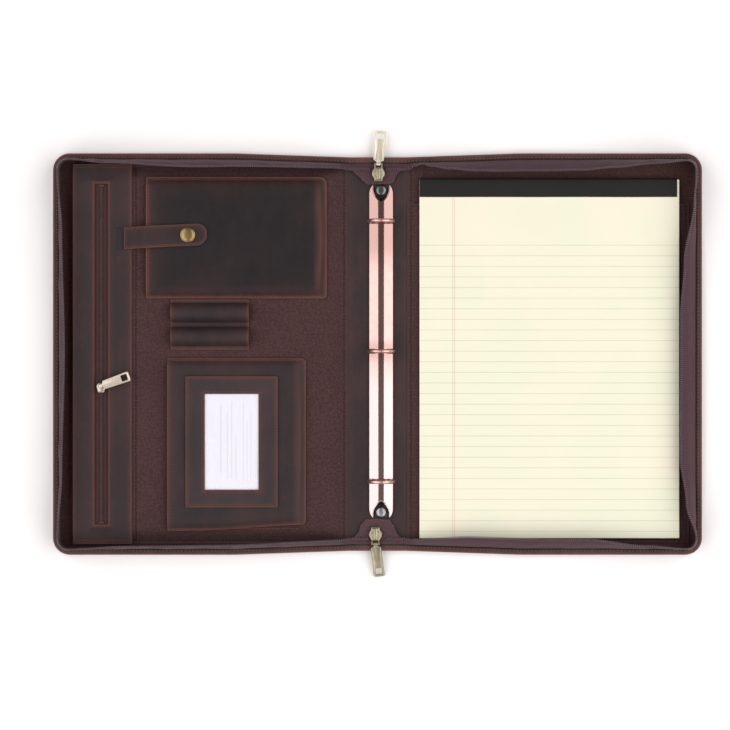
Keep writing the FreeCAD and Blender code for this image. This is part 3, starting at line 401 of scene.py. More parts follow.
print("materials")
panelEdge = (100, 65, 58)
even = (1.0, 1.0, 1.0)
finishes = {
    # dark and warm tone, rubbed edge (on the pockets also the tone of their painted highlight), wear, gloss
    waxedLeather: {
        "coverLeather": ((62, 45, 46), (82, 58, 58), (112, 78, 72), 0.9),
        "panelLeather": ((41, 38, 41), (56, 43, 44), panelEdge),
        "pocketLeather": ((29, 26, 29), (39, 31, 33), panelEdge),
        "frameLeather": ((45, 44, 48), (61, 50, 53), panelEdge),
        "strapLeather": ((36, 32, 36), (48, 38, 40), panelEdge),
        "smoothLeather": ((48, 41, 42), (64, 47, 47), (78, 52, 50), 0.7, 0.05),
    },
    # deep and light tone, thread pitch, relief, fuzz
    wovenCloth: {
        "organizerCloth": ((45, 30, 31), (82, 58, 59), 1.15),
        "liningCloth": ((48, 31, 31), (82, 57, 56), 1.15),
        "gussetCloth": ((58, 40, 44), (94, 72, 77), 0.8, 0.06, 0.4),
    },
    # deep and light tone, rib pitch, direction across the ribs
    ribbedTape: {
        "zipTape": ((54, 38, 42), (88, 66, 72), 0.9, "x"),
        "pocketTape": ((44, 26, 28), (80, 54, 54), 0.9, "y"),
    },
    nylonCoil: {
        "coilNylon": ((84, 68, 74), (120, 102, 110)),
        "darkCoil": ((50, 37, 37), (80, 62, 61)),
    },
    # bright and worn tone, roughness, brushing, scratches
    polishedMetal: {
        "ringCopper": ((222, 184, 176), (196, 150, 138), 0.36, even, 0.04),
        # near-black end pieces under the rivets: painted shade and dark reflection
        "darkMetal": ((58, 58, 61), (44, 43, 46), 0.3),
        # darker copy of the rivet metal for the top rivet: painted dark reflection
        "rivetMetal": ((150, 155, 160), (120, 124, 130), 0.14),
        "brightMetal": ((186, 188, 190), (150, 152, 156), 0.28),
        "champagneMetal": ((240, 233, 215), (218, 208, 187), 0.48),
        "nickelMetal": ((222, 210, 197), (196, 184, 170), 0.46),
        "agedMetal": ((172, 164, 142), (136, 127, 104), 0.42),
        "brassMetal": ((160, 138, 96), (132, 112, 74), 0.33, even, 0.03),
        "steelMetal": ((172, 172, 174), (140, 140, 144), 0.32),
    },
    sewingThread: {
        "rimThread": ((84, 61, 55), (122, 93, 84)),
        "darkThread": ((24, 14, 15), (46, 29, 29)),
        "redThread": ((70, 42, 40), (116, 78, 70)),
    },
    # deep and light tone, roughness, relief
    plainBoard: {
        "greyBoard": ((110, 100, 88), (140, 130, 116)),
        "padBoard": ((120, 104, 80), (152, 134, 106)),
        "bindingPaper": ((23, 20, 21), (34, 30, 31), 0.62, 0.04),
        "darkStop": ((58, 42, 40), (84, 64, 60), 0.5, 0.02),
    },
    pageEdges: {"padEdges": ()},
    clearFilm: {"filmSheet": ()},
}
paints = {name: make(name, *values) for make, rows in finishes.items() for name, values in rows.items()}


def circle(count):
    angles = [math.tau * number / count for number in range(count)]
    return [(math.cos(angle), math.sin(angle)) for angle in angles]


def ringAt(middle, side, up, radius, count):
    return [middle + (side * a + up * b) * radius for a, b in circle(count)]


class Shape:
    # points and faces of one piece, in mm
    def __init__(self):
        self.points = []
        self.faces = []
        self.rubs = []

    def point(self, place, rub=0.0):
        self.points.append([v * mm for v in place])
        self.rubs.append(rub)
        return len(self.points) - 1

    def web(self, rows, closed=False):
        # faces between rows of points
        for first, second in zip(rows, rows[1:]):
            count = len(first)
            for k in range(count if closed else count - 1):
                after = (k + 1) % count
                self.faces.append((first[k], first[after], second[after], second[k]))

    def loft(self, rings, closed=True, caps=True, rubs=None):
        # rings of equal length, joined one to the next
        rows = []
        for number, ring in enumerate(rings):
            rub = rubs[number] if rubs else 0.0
            rows.append([self.point(place, rub) for place in ring])
        self.web(rows, closed)
        if caps:
            self.faces.append(tuple(reversed(rows[0])))
            self.faces.append(tuple(rows[-1]))

    def build(self, name, paint, sharp=None):
        data = bpy.data.meshes.new(name)
        data.from_pydata(self.points, [], self.faces)
        data.attributes.new("rub", "FLOAT", "POINT").data.foreach_set("value", self.rubs)
        work = bmesh.new()
        work.from_mesh(data)
        bmesh.ops.remove_doubles(work, verts=work.verts, dist=1e-7)
        bmesh.ops.recalc_face_normals(work, faces=work.faces)
        work.to_mesh(data)
        work.free()
        data.shade_smooth()
        data.set_sharp_from_angle(angle=math.radians(sharp or 40))
        data.materials.append(paints[paint])
        piece = bpy.data.objects.new(name, data)
        bpy.context.scene.collection.objects.link(piece)
        return piece


def fix(piece, where, slot, *nodes):
    if isinstance(where, str):
        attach(piece, where)
    else:
        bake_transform(piece)
    if nodes:
        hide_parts(*nodes)


def add(maker, name, paint, where, slot, *nodes, sharp=None):
    # builds a shape or a leaf as one finished piece
    fix(maker.build(name, paint, sharp), where, slot, *nodes)
    return maker


def solid(piece, thickness, sharp):
    # gives a sheet its thickness, downwards, and keeps the result as a plain mesh
    change = piece.modifiers.new("thickness", "SOLIDIFY")
    change.thickness = thickness * mm
    change.offset = -1
    bpy.context.view_layer.update()
    ready = piece.evaluated_get(bpy.context.evaluated_depsgraph_get())
    data = bpy.data.meshes.new_from_object(ready)
    piece.modifiers.clear()
    piece.data = data
    data.shade_smooth()
    data.set_sharp_from_angle(angle=math.radians(sharp))
    return piece


nearEdge = (0, 0.1, 0.3, 0.6, 1.0, 1.6, 2.4, 3.3, 4.6, 6.4)


def spread(low, high, step, extra):
    # grid lines between two ends: close together at the ends, a step apart elsewhere
    places = {round(place, 4) for place in extra if low < place < high}
    half = (high - low) / 2
    for inset in nearEdge:
        if inset < half * 0.98:
            places |= {round(low + inset, 4), round(high - inset, 4)}
    reach = min(nearEdge[-1], half * 0.9)
    span = high - low - 2 * reach
    count = max(int(span / step), 1)
    places |= {round(low + reach + span * number / count, 4) for number in range(1, count)}
    tidy = []
    for place in sorted(places):
        if not tidy or place - tidy[-1] > 0.04:
            tidy.append(place)
    return tidy


def cornerShift(x, y, box, radii):
    # moves a point of a rectangle so that its corners come out round
    for number, radius in enumerate(radii):
        wayX = 1 if number % 2 else -1
        wayY = 1 if number > 1 else -1
        centreX = box[1 + wayX] - wayX * radius
        centreY = box[2 + wayY] - wayY * radius
        a = wayX * (x - centreX)
        b = wayY * (y - centreY)
        if radius and a > 0 and b > 0:
            factor = max(a, b) / math.hypot(a, b)
            return centreX + wayX * a * factor, centreY + wayY * b * factor
    return x, y


class Leaf:
    # a flat panel with rolled edges; top gives the height of its face
    def __init__(self, box, top, thick, roll=0.6, corners=(0, 0, 0, 0), hole=None, under=None,
                 step=7.0, wear=2.2, warp=None, extraX=(), extraY=(), highlightAndWearAt=None):
        self.box = box
        self.top = top
        self.thick = thick
        self.roll = min(roll, thick * 0.95)
        self.corners = corners
        self.hole = hole
        self.under = under
        self.wear = wear
        self.warp = warp
        self.highlightAndWearAt = highlightAndWearAt
        self.xs = self.lines(0, step, list(extraX))
        self.ys = self.lines(1, step, list(extraY))

    def lines(self, axis, step, extra):
        low, high = self.box[axis::2]
        if not self.hole:
            return spread(low, high, step, extra)
        near, far = self.hole[axis::2]
        for inset in nearEdge[:8]:
            extra += [near - inset, far + inset]
        places = spread(low, high, step, extra)
        return [v for v in places if not near < v < far or min(v - near, far - v) > 4]

    def depth(self, x, y):
        left, low, right, high = self.box
        inside = min(x - left, right - x, y - low, high - y)
        if self.hole:
            a, b, c, d = self.hole
            inside = min(inside, max(a - x, x - c, b - y, y - d))
        return inside

    def face(self, x, y):
        # height of the finished face at a place
        inside = max(self.depth(x, y), 0.0)
        drop = 0.0
        if inside < self.roll:
            drop = self.roll - math.sqrt(self.roll ** 2 - (self.roll - inside) ** 2)
        return self.top(x, y, inside) - drop

    def put(self, x, y, z):
        x, y = cornerShift(x, y, self.box, self.corners)
        return self.warp(x, y, z) if self.warp else (x, y, z)

    def build(self, name, paint, sharp=None):
        shape = Shape()
        upper = {}
        lower = {}
        for i, x in enumerate(self.xs):
            for j, y in enumerate(self.ys):
                if self.depth(x, y) < -0.01:
                    continue
                inside = max(self.depth(x, y), 0.0)
                # extra rub on the pockets: a painted highlight along the bulge and a worn border
                rub = self.highlightAndWearAt(x, y) if self.highlightAndWearAt else 0.0
                if self.wear:
                    rub += 0.8 * math.exp(-((inside / self.wear) ** 1.3)) + 0.22 * math.exp(-inside / 6)
                upper[i, j] = shape.point(self.put(x, y, self.face(x, y)), rub)
                base = self.under(x, y) if self.under else self.top(x, y, inside) - self.thick
                lower[i, j] = shape.point(self.put(x, y, base), rub)
        border = {}
        for i, (x, nextX) in enumerate(zip(self.xs, self.xs[1:])):
            for j, (y, nextY) in enumerate(zip(self.ys, self.ys[1:])):
                if self.depth((x + nextX) / 2, (y + nextY) / 2) < 0:
                    continue
                ring = ((i, j), (i + 1, j), (i + 1, j + 1), (i, j + 1))
                shape.faces.append(tuple(upper[k] for k in ring))
                shape.faces.append(tuple(lower[k] for k in reversed(ring)))
                for first, second in zip(ring, ring[1:] + ring[:1]):
                    if (second, first) in border:
                        del border[second, first]
                    else:
                        border[first, second] = True
        for first, second in border:
            shape.faces.append((upper[first], lower[first], lower[second], upper[second]))
        return shape.build(name, paint, sharp or 50)


sewing = {
    "pitch": 3.0,
    "length": 1.9,
    "radius": 0.42,
    "sink": 0.3,
    # reach along the stitch, width, depth
    "rings": ((-0.5, 0.35, 1.0), (-0.34, 0.9, 0.25), (0.0, 1.0, 0.0), (0.34, 0.9, 0.25), (0.5, 0.35, 1.0)),
}


def stitch(shape, place, direction, up, size=1.0):
    # one stitch: a short thread that dives into the material at both ends
    direction = Vector(direction).normalized()
    up = Vector(up).normalized()
    side = direction.cross(up)
    rows = []
    for reach, width, drop in sewing["rings"]:
        ahead = direction * (reach * sewing["length"] * size)
        middle = Vector(place) + ahead - up * (drop * sewing["sink"] * size)
        rows.append(ringAt(middle, side, up, sewing["radius"] * size * width, 6))
    shape.loft(rows)


def seam(shape, path, height, size=1.0, pitch=None):
    # stitches at an even pitch along straight runs; height gives z at (x, y)
    pitch = (pitch or sewing["pitch"]) * size
    for (x0, y0), (x1, y1) in zip(path, path[1:]):
        length = math.hypot(x1 - x0, y1 - y0)
        dx = (x1 - x0) / length
        dy = (y1 - y0) / length
        count = max(int(length / pitch), 1)
        for number in range(count):
            x = mix(x0, x1, (number + 0.5) / count)
            y = mix(y0, y1, (number + 0.5) / count)
            lean = random.uniform(-0.06, 0.06)
            rise = height(x + dx / 2, y + dy / 2) - height(x - dx / 2, y - dy / 2)
            place = (x, y, height(x, y) + 0.12)
            stitch(shape, place, (dx - dy * lean, dy + dx * lean, rise), (0, 0, 1), size)


def rectangle(box, inset):
    # closed path inside a box
    left, low, right, high = box[0] + inset, box[1] + inset, box[2] - inset, box[3] - inset
    return [(left, low), (right, low), (right, high), (left, high), (left, low)]


def lathe(shape, centre, profile, count):
    # rings of (radius, height) about an upright axis
    shape.loft([[(centre[0] + radius * a, centre[1] + radius * b, height) for a, b in circle(count)]
                for radius, height in profile])


def grown(corners, inset):
    # a closed outline drawn in by inset
    pairs = list(zip(corners[-1:] + corners[:-1], corners, corners[1:] + corners[:1]))
    area = sum(a[0] * b[1] - b[0] * a[1] for a, b, _ in pairs)
    inset = inset if area > 0 else -inset
    result = []
    for (ax, ay), (bx, by), (cx, cy) in pairs:
        first = Vector((by - ay, ax - bx)).normalized()
        second = Vector((cy - by, bx - cx)).normalized()
        middle = first + second
        middle = middle / max(middle.length_squared, 0.5) * 2
        result.append((bx - middle.x * inset, by - middle.y * inset))
    return result


def mirrored(half):
    # closed outline from its right-hand half
    return half + [(-x, y, radius) for x, y, radius in reversed(half)]


def rounded(corners, segments=5):
    # corners are (x, y, radius); returns the outline with round corners
    result = []
    for k, (bx, by, radius) in enumerate(corners):
        if radius <= 0:
            result.append((bx, by))
            continue
        ax, ay, _ = corners[k - 1]
        cx, cy, _ = corners[(k + 1) % len(corners)]
        corner = Vector((bx, by))
        back = Vector((ax - bx, ay - by)).normalized()
        ahead = Vector((cx - bx, cy - by)).normalized()
        half = back.angle(ahead) / 2
        reach = radius / math.tan(half)
        middle = corner + (back + ahead).normalized() * (radius / math.sin(half))
        start = corner + back * reach - middle
        end = corner + ahead * reach - middle
        sweep = start.angle_signed(end, 0.0)
        for number in range(segments + 1):
            turned = start.copy()
            turned.rotate(Matrix.Rotation(-sweep * number / segments, 2))
            result.append((middle.x + turned.x, middle.y + turned.y))
    return result


def plate(shape, corners, profile, place, base=0.0):
    # an outline carried up through (inset, height) steps, then moved to its place
    shape.loft([[place @ Vector((x, y, base + height)) for x, y in grown(corners, inset)]
                for inset, height in profile])


def tube(shape, path, radii, count):
    # a round bar along a list of points, with a radius at each
    rings = []
    for number, radius in enumerate(radii):
        before = Vector(path[max(number - 1, 0)])
        after = Vector(path[min(number + 1, len(path) - 1)])
        direction = (after - before).normalized()
        side = direction.cross(Vector((0.0, 1.0, 0.0))).normalized()
        rings.append(ringAt(Vector(path[number]), side, side.cross(direction), radius, count))
    shape.loft(rings)


# the case: outer leather, spine, gussets
print("covers")
halfWidth, halfLength, _ = cadLimits("back_leather")[1]
spineHalf = cadLimits("spine_leather")[1][1]
fold = jointPlace("spine_fold")[0]
bendNear = fold - 5
bendFar = fold + 5
case = {
    "dipLength": 95,        # the long edges draw in towards the spine over this length
    "corner": 14,
    "hemInset": 5,
    "hemTop": 6.0,
    "stitchInset": 3.3,
    "stitchPitch": 3.1,
    "liningTop": 4.8,
    "sideRows": 44,
    # rim, from the underside up and in: (inset, height)
    "profile": [(1.4, 0.0), (0.5, 0.25), (0.1, 0.9), (0.0, 1.8), (0.0, 4.4), (0.15, 5.2), (0.6, 5.75),
                (1.4, 6.0), (2.8, 6.0), (3.3, 5.82), (3.8, 5.98), (4.5, 5.95), (4.9, 5.6), (5.0, 4.7)],
}
joins = {
    "back": ("spine", "back_cover", (bendNear * mm, 0, 0), (bendFar * mm, 0, 0)),
    "front": ("front_cover", "spine", (-bendFar * mm, 0, 0), (-bendNear * mm, 0, 0)),
}
turns = {"back": 1, "front": -1}


def edgeAt(x):
    return mix(spineHalf, halfLength, min(max((x - fold) / case["dipLength"], 0.0), 1.0))


def rimTop():
    # along the top edge of a right-hand cover and round its corner: (x, y, inward x, inward y)
    radius = case["corner"]
    places = [0.0, 4.0, 8.0, 12.0, 16.0, 17.25] + [bendNear + v for v in range(0, 11)] + [31.0, 34.0]
    while places[-1] < halfWidth - radius - 5:
        places.append(places[-1] + 4)
    places.append(halfWidth - radius)
    top = [(x, edgeAt(x), 0.0, -1.0) for x in places]
    for number in range(1, 11):
        sine = math.sin(math.radians(9 * number))
        cosine = math.cos(math.radians(9 * number))
        x = halfWidth - radius + radius * sine
        top.append((x, halfLength - radius + radius * cosine, -sine, -cosine))
    return top


def measured(stations):
    # adds the distance from the start to each station
    result = []
    distance = 0.0
    for station in stations:
        if result:
            distance += math.hypot(station[0] - result[-1][0], station[1] - result[-1][1])
        result.append(station + (distance,))
    return result


topRim = rimTop()
sideRows = case["sideRows"]
sideReach = halfLength - case["corner"]
sideRim = [(halfWidth, mix(sideReach, -sideReach, k / sideRows), -1.0, 0.0) for k in range(1, sideRows)]
rim = measured(topRim + sideRim + [(x, -y, nx, -ny) for x, y, nx, ny in reversed(topRim)])
rimDistances = [station[4] for station in rim]
rimLength = rimDistances[-1]


def rimAt(distance):
    # the place on the rim at a distance along it
    after = min(max(bisect.bisect_right(rimDistances, distance), 1), len(rim) - 1)
    before = rimDistances[after - 1]
    share = (distance - before) / max(rimDistances[after] - before, 1e-6)
    return tuple(mix(a, b, share) for a, b in zip(rim[after - 1], rim[after]))


def inwards(side, station, inset, height):
    # a point at an inset from the rim of one cover
    x, y, nx, ny, _ = station
    return turns[side] * (x + nx * inset), y + ny * inset, height


def coverShell(side):
    shape = Shape()
    rings = [[inwards(side, station, *step) for station in rim] for step in case["profile"]]
    rubs = [math.exp(-abs(inset - 0.4) / 1.1) if height > 0.2 else 0.3 for inset, height in case["profile"]]
    shape.loft(rings, closed=False, caps=False, rubs=rubs)
    columns = []
    for x, y, nx, ny in topRim:
        px = x + nx * case["profile"][0][0]
        py = y + ny * case["profile"][0][0]
        column = []
        for row in range(sideRows + 1):
            place = mix(py, -py, row / sideRows)
            inside = min(py - abs(place), halfWidth - px)
            column.append(shape.point((turns[side] * px, place, 0.0), 0.3 * math.exp(-inside / 3)))
        columns.append(column)
    shape.web(columns)
    add(shape, side + "Shell", "coverLeather", joins[side], "outer_leather", side + "_leather",
        "spine_leather", sharp=60)


def rimSewing(side):
    shape = Shape()
    count = int(rimLength / case["stitchPitch"])
    for number in range(count):
        station = rimAt((number + 0.5) * rimLength / count)
        inset = case["stitchInset"] + random.uniform(-0.06, 0.06)
        place = inwards(side, station, inset, case["hemTop"] + 0.08)
        stitch(shape, place, (-station[3] * turns[side], station[2], 0), (0, 0, 1), 0.95)
    add(shape, side + "RimStitches", "rimThread", joins[side], "outer_leather")


def spineSkin(side):
    # smooth leather on the inside of the spine, out to the sewn edge of each cover
    low = -(spineHalf - case["hemInset"] - 0.1)
    shape = Shape()
    grid = []
    for x in [0, 3, 6, 9, 12, 14, 16] + [bendNear + v * 0.5 for v in range(0, 21)]:
        crease = 0.35 * math.exp(-((x - fold) / 0.8) ** 2) + 0.18 * math.exp(-((x - fold + 3.2) / 0.6) ** 2)
        rub = 0.5 * math.exp(-abs(x - fold) / 2)
        line = []
        for y in [mix(low, -low, k / 60) for k in range(61)]:
            ripple = 0.05 * math.sin(y / 9 + x) + 0.04 * math.sin(y / 3.7 - x * 0.8)
            z = case["liningTop"] + 0.12 - crease + ripple * min(x / 10, 1)
            line.append(shape.point((turns[side] * x, y, z), rub))
        grid.append(line)
    shape.web(grid)
    add(shape, side + "SpineSkin", "smoothLeather", joins[side], "pocket_leather", "spine_lining", sharp=60)


gusset = {
    "baseInset": 5.5,
    "baseHeight": 5.0,
    "thick": 0.9,
    "tapeWidth": 5.6,
    "tapeThick": 0.6,
    "toothPitch": 1.55,
    "toothLength": 2.3,
    "toothRadius": 0.5,
    # reach along a tooth, width
    "tooth": ((-0.5, 0.6), (-0.35, 1.0), (0.1, 1.0), (0.38, 1.15), (0.5, 0.6)),
    # distance along the rim, how far the top leans inwards, how high it stands
    "back": [
        (0, 17.5, 0.4), (11, 17.3, 0.7), (14, 15.2, 1.4), (15.4, 10.5, 2.2), (17.2, 7.6, 2.6),
        (20.5, 5.6, 3.0), (27, 4.3, 5.2), (31, 2.4, 10.4), (37, 1.5, 13.4), (45, 3.6, 14.4),
        (60, 6.1, 14.6), (82, 8.2, 13.2), (105, 9.2, 12.3), (135, 9.4, 13.0), (170, 9.0, 14.2),
        (195, 7.0, 16.2), (230, 4.0, 18.2), (258, 1.8, 18.6), (284, 1.6, 18.6), (305, 3.0, 18.4),
        (355, 10.5, 15.8), (400, 13.2, 13.8), (515, 13.6, 13.4), (555, 9.0, 16.6), (584, 1.5, 18.6),
        (606, 0.8, 18.6), (640, 3.0, 18.3), (690, 8.0, 17.0), (785, 8.8, 16.4), (821, 5.8, 14.5),
        (829, 4.9, 11.8), (835, 4.2, 6.0), (842, 5.0, 2.8), (845.5, 9.0, 2.2), (849, 17.0, 1.4),
        (852, 21.5, 0.8), (863, 22.2, 0.4)],
    "front": [
        (0, 17.5, 0.4), (5.5, 17.5, 0.7), (7.6, 18.8, 1.6), (10.7, 16.1, 2.4), (14, 12.9, 2.8),
        (17.5, 9.5, 3.0), (21, 6.3, 3.2), (25, 4.6, 3.8), (28, 4.2, 5.4), (35, 4.3, 11.8),
        (42, 4.5, 13.6), (64, 5.2, 16.5), (150, 6.6, 17.6), (225, 3.5, 18.4), (256, 0.6, 18.6),
        (280, 0.4, 18.6), (330, 3.6, 18.3), (430, 5.6, 17.8), (530, 3.6, 18.3), (584, 0.4, 18.6),
        (608, 0.4, 18.6), (650, 2.6, 18.4), (760, 3.6, 18.2), (800, 4.2, 16.4), (821, 4.4, 14.0),
        (829, 4.3, 11.8), (835, 4.2, 6.0), (841, 4.6, 3.0), (845, 9.0, 2.2), (849, 18.0, 1.4),
        (852, 21.8, 0.8), (863, 22.2, 0.4)],
}


def gussetCurve(side, distance, share, coilSide=False):
    # a point of the gusset's middle surface: inset, height, normal, direction upwards
    lean, rise = tableAt(gusset[side], distance)
    fromEnd = min(distance, rimLength - distance)
    if coilSide and lean > 4.6 and fromEnd < 27:
        # the teeth stay on the straight line past the folded wings
        rise = min(rise, 3.2) * 0.6 + 0.9
        lean = 4.6
    upright = rise / max(rise + abs(lean), 0.01)
    bulge = (lean * (0.5 - 0.42 * upright), rise * (0.5 + 0.2 * upright))
    a = 2 * share * (1 - share)
    b = share * share
    dx = 2 * (1 - share) * bulge[0] + 2 * share * (lean - bulge[0])
    dz = 2 * (1 - share) * bulge[1] + 2 * share * (rise - bulge[1])
    length = max(math.hypot(dx, dz), 1e-6)
    ripple = 0.42 * math.sin(distance / 7.3 + 2 * share)
    ripple += 0.30 * math.sin(distance / 3.1 + share * 4 + turns[side])
    ripple *= 4 * share * (1 - share) * upright * ease((fromEnd - 35) / 40)
    normal = (-dz / length, dx / length)    # points outwards and up
    inset = gusset["baseInset"] + a * bulge[0] + b * lean + normal[0] * ripple
    height = gusset["baseHeight"] + a * bulge[1] + b * rise + normal[1] * ripple
    return inset, height, normal, (dx / length, dz / length)


def gussetStations(start, end):
    places = [start]
    for place in rimDistances:
        if start < place < end:
            if place - places[-1] > 2.6:
                places.append(mix(places[-1], place, 0.5))
            places.append(place)
    return places + [end]


def gussetStrip(side, name, shares, thick, lift, paint, start, end, slotName, nodes, coilSide=False):
    lowest = case["liningTop"] + 0.15
    rings = []
    for distance in gussetStations(start, end):
        faces = {1: [], -1: []}
        for number, share in enumerate(shares):
            inset, height, normal, _ = gussetCurve(side, distance, share, coilSide)
            edge = 0.35 if number in (0, len(shares) - 1) else 1.0
            for way, face in faces.items():
                off = lift + way * thick / 2 * edge
                face.append((inset + normal[0] * off, max(height + normal[1] * off, lowest)))
        rings.append([inwards(side, rimAt(distance), *spot) for spot in faces[1] + faces[-1][::-1]])
    shape = Shape()
    shape.loft(rings)
    add(shape, name, paint, joins[side], slotName, *nodes, sharp=60)


def coilTeeth(side, start, end):
    turn = turns[side]
    shape = Shape()
    for number in range(int((end - start) / gusset["toothPitch"])):
        distance = start + (number + 0.5) * gusset["toothPitch"]
        station = rimAt(distance)
        nx, ny = station[2:4]
        inset, height, normal, heading = gussetCurve(side, distance, 1.0, True)
        lift = 0.35
        middle = Vector(inwards(side, station, inset + normal[0] * lift, height + normal[1] * lift))
        out = Vector((turn * nx * heading[0], ny * heading[0], heading[1]))
        face = Vector((turn * nx * normal[0], ny * normal[0], normal[1]))
        path = out.cross(face)
        rows = []
        for reach, width in gusset["tooth"]:
            spot = middle + out * (reach * gusset["toothLength"] + 0.2)
            rows.append(ringAt(spot, path * 0.9, face * 1.3, gusset["toothRadius"] * width, 6))
        shape.loft(rows)
    add(shape, side + "CoilTeeth", "coilNylon", joins[side], "zip_coil", side + "_zip_coil")


def gussets(side):
    tape = 1 - gusset["tapeWidth"] / 19
    cloth = [0.0, 0.06, 0.14, 0.24, 0.36, 0.48, 0.6, 0.72, 0.84, 0.92, 0.96]
    gussetStrip(side, side + "Gusset", cloth, gusset["thick"], 0.0, "gussetCloth", 0.0, rimLength,
                "gusset_cloth", (side + "_gusset", "zip_end_tab_top", "zip_end_tab_bottom"))
    band = [tape, tape + 0.06, tape + 0.14, tape + 0.22, 1.0]
    gussetStrip(side, side + "ZipTape", band, gusset["tapeThick"], 0.7, "zipTape", 7.0, rimLength - 7,
                "zip_tape", (side + "_zip_tape",), True)
    coilTeeth(side, 6.5, rimLength - 6.5)


def wingStitches(side):
    shape = Shape()
    for start in (1.3, rimLength - 13.0):
        for number in range(5):
            ends = []
            for step in (-0.5, 0.5):
                distance = start + number * 2.7 + step
                inset, height, _, _ = gussetCurve(side, distance, 0.92)
                ends.append(Vector(inwards(side, rimAt(distance), inset, height + 0.5)))
            stitch(shape, (ends[0] + ends[1]) / 2, ends[1] - ends[0], (0, 0, 1), 0.8)
    add(shape, side + "WingStitches", "rimThread", joins[side], "gusset_cloth")


for side in ("back", "front"):
    wingStitches(side)
    coverShell(side)
    rimSewing(side)
    spineSkin(side)
    gussets(side)


# the organiser on the front cover
print("organiser")
panelLow, panelHigh = cadLimits("organizer_panel")
panelTop = panelHigh[2] - 0.25
organizer = {
    "rightEdge": -24.6,
    "sewnTop": 5.7,
    "flatInset": 2.6,       # sewn border that lies on the lining
    "slope": 9.5,
    "stitchInset": 3.2,
    "stitchSize": (1.15, 2.4),
    "clothThick": 1.0,
    "leatherThick": 1.6,
    "leatherEnd": 8.7,      # height of the leather strip at its two ends
}


def organizerFace(x, y, rightSide=True):
    inside = panelHigh[1] - abs(y)
    if rightSide:
        inside = min(inside, organizer["rightEdge"] - x)
    rise = ease((inside - organizer["flatInset"]) / organizer["slope"])
    sag = 0.22 * math.sin(x / 17) * math.sin(y / 23) + 0.12 * math.sin(x / 6.1 + y / 9.7)
    return mix(organizer["sewnTop"], panelTop, rise) + sag * rise


stripLow, stripHigh = cadLimits("zip_pocket_leather")
clothPanel = Leaf((stripHigh[0] - 4, panelLow[1], organizer["rightEdge"], panelHigh[1]),
                  lambda x, y, inside: organizerFace(x, y), organizer["clothThick"], 0.5, wear=0.9, step=6)
add(clothPanel, "organizerCloth", "organizerCloth", "front_cover", "lining_cloth", "organizer_panel")

coilLow, coilHigh = cadLimits("pocket_zip_coil")
stopHigh = cadLimits("pocket_zip_stops")[1]
tapeLow, tapeHigh = cadLimits("pocket_zip_tapes")
zipMiddle = (coilLow[0] + coilHigh[0]) / 2
strip = {
    "windowHalf": 5.4,
    "windowReach": stopHigh[1] + 0.1,
    "rimWidth": 2.9,
    "rimRise": 0.55,
    "sink": 0.05,
}


def stripFace(y):
    # the strip lies nearly flat to its ends
    rise = ease((panelHigh[1] - abs(y)) / 18)
    return mix(organizer["leatherEnd"], panelTop, rise) + 0.1 * math.sin(y / 19)


def stripTop(x, y, inside):
    # leather strip with a raised rim round the zip
    base = stripFace(y) + organizer["leatherThick"]
    ring = max(abs(x - zipMiddle) - strip["windowHalf"], abs(y) - strip["windowReach"])
    bump = ease(ring / 0.7) * (1 - ease((ring - strip["rimWidth"]) / 1.0)) if ring > 0 else 0.0
    return base + bump * strip["rimRise"]


def stripUnder(x, y):
    return min(stripFace(y), organizerFace(x, y, False)) - strip["sink"]


window = (zipMiddle - strip["windowHalf"], -strip["windowReach"],
          zipMiddle + strip["windowHalf"], strip["windowReach"])
zipStrip = Leaf(outline(stripLow, stripHigh), stripTop, organizer["leatherThick"], 0.7,
                corners=(1.2, 0.8, 1.2, 0.8), hole=window, wear=1.0, step=7, under=stripUnder)
add(zipStrip, "zipStrip", "panelLeather", "front_cover", "pocket_leather", "zip_pocket_leather")
stripBack = Leaf((panelLow[0], panelLow[1] + 0.4, stripHigh[0] - 3, panelHigh[1] - 0.4),
                 lambda x, y, inside: organizerFace(x, y, False) - strip["sink"], 0.9, 0.4,
                 hole=window, wear=0, step=9)
add(stripBack, "stripLining", "liningCloth", "front_cover", "lining_cloth", "zip_pocket_bag")

pocketZip = {
    "tapeGap": 0.35,
    "tapeRows": 59,
    # share of the way out from the middle, upper and lower height
    "tape": ((0.0, 10.75, 10.3), (0.3, 10.9, 10.4), (0.7, 10.6, 10.1), (1.0, 9.6, 9.2)),
    "pitch": 1.6,
    "reach": 1.9,
    "radius": 0.5,
    "height": 11.2,
    # reach along a tooth, width, lift
    "tooth": ((-0.35, 0.7, -0.1), (-0.2, 1.1, 0.0), (0.2, 1.0, 0.05), (0.8, 1.0, 0.0), (1.0, 0.6, -0.3)),
    "stop": (2.3, 1.1, 0.5),
    "stopGap": 1.2,
    "stopProfile": ((0.3, 10.6), (0, 10.9), (0, 11.7), (0.35, 12.05)),
}
shape = Shape()
for far, way in ((tapeLow[0], -1), (tapeHigh[0], 1)):
    near = zipMiddle + way * pocketZip["tapeGap"]
    rings = []
    for number in range(pocketZip["tapeRows"] + 1):
        y = mix(tapeLow[1], tapeHigh[1], number / pocketZip["tapeRows"])
        upper = [(mix(near, far, share), y, high) for share, high, low in pocketZip["tape"]]
        lower = [(mix(near, far, share), y, low) for share, high, low in pocketZip["tape"]]
        rings.append(upper + lower[::-1])
    shape.loft(rings)
add(shape, "pocketTapes", "pocketTape", "front_cover", "zip_tape", "pocket_zip_tapes")

shape = Shape()
for number in range(int((coilHigh[1] - coilLow[1]) / pocketZip["pitch"])):
    for way in (-1, 1):
        y = coilLow[1] + (number + 0.5 + way * 0.25) * pocketZip["pitch"]
        rows = []
        for place, width, lift in pocketZip["tooth"]:
            spot = Vector((zipMiddle + way * place * pocketZip["reach"], y, pocketZip["height"] + lift))
            rows.append(ringAt(spot, Vector((0, 1, 0)), Vector((0, 0, 1)), pocketZip["radius"] * width, 6))
        shape.loft(rows)
add(shape, "pocketTeeth", "darkCoil", "front_cover", "zip_coil", "pocket_zip_coil")

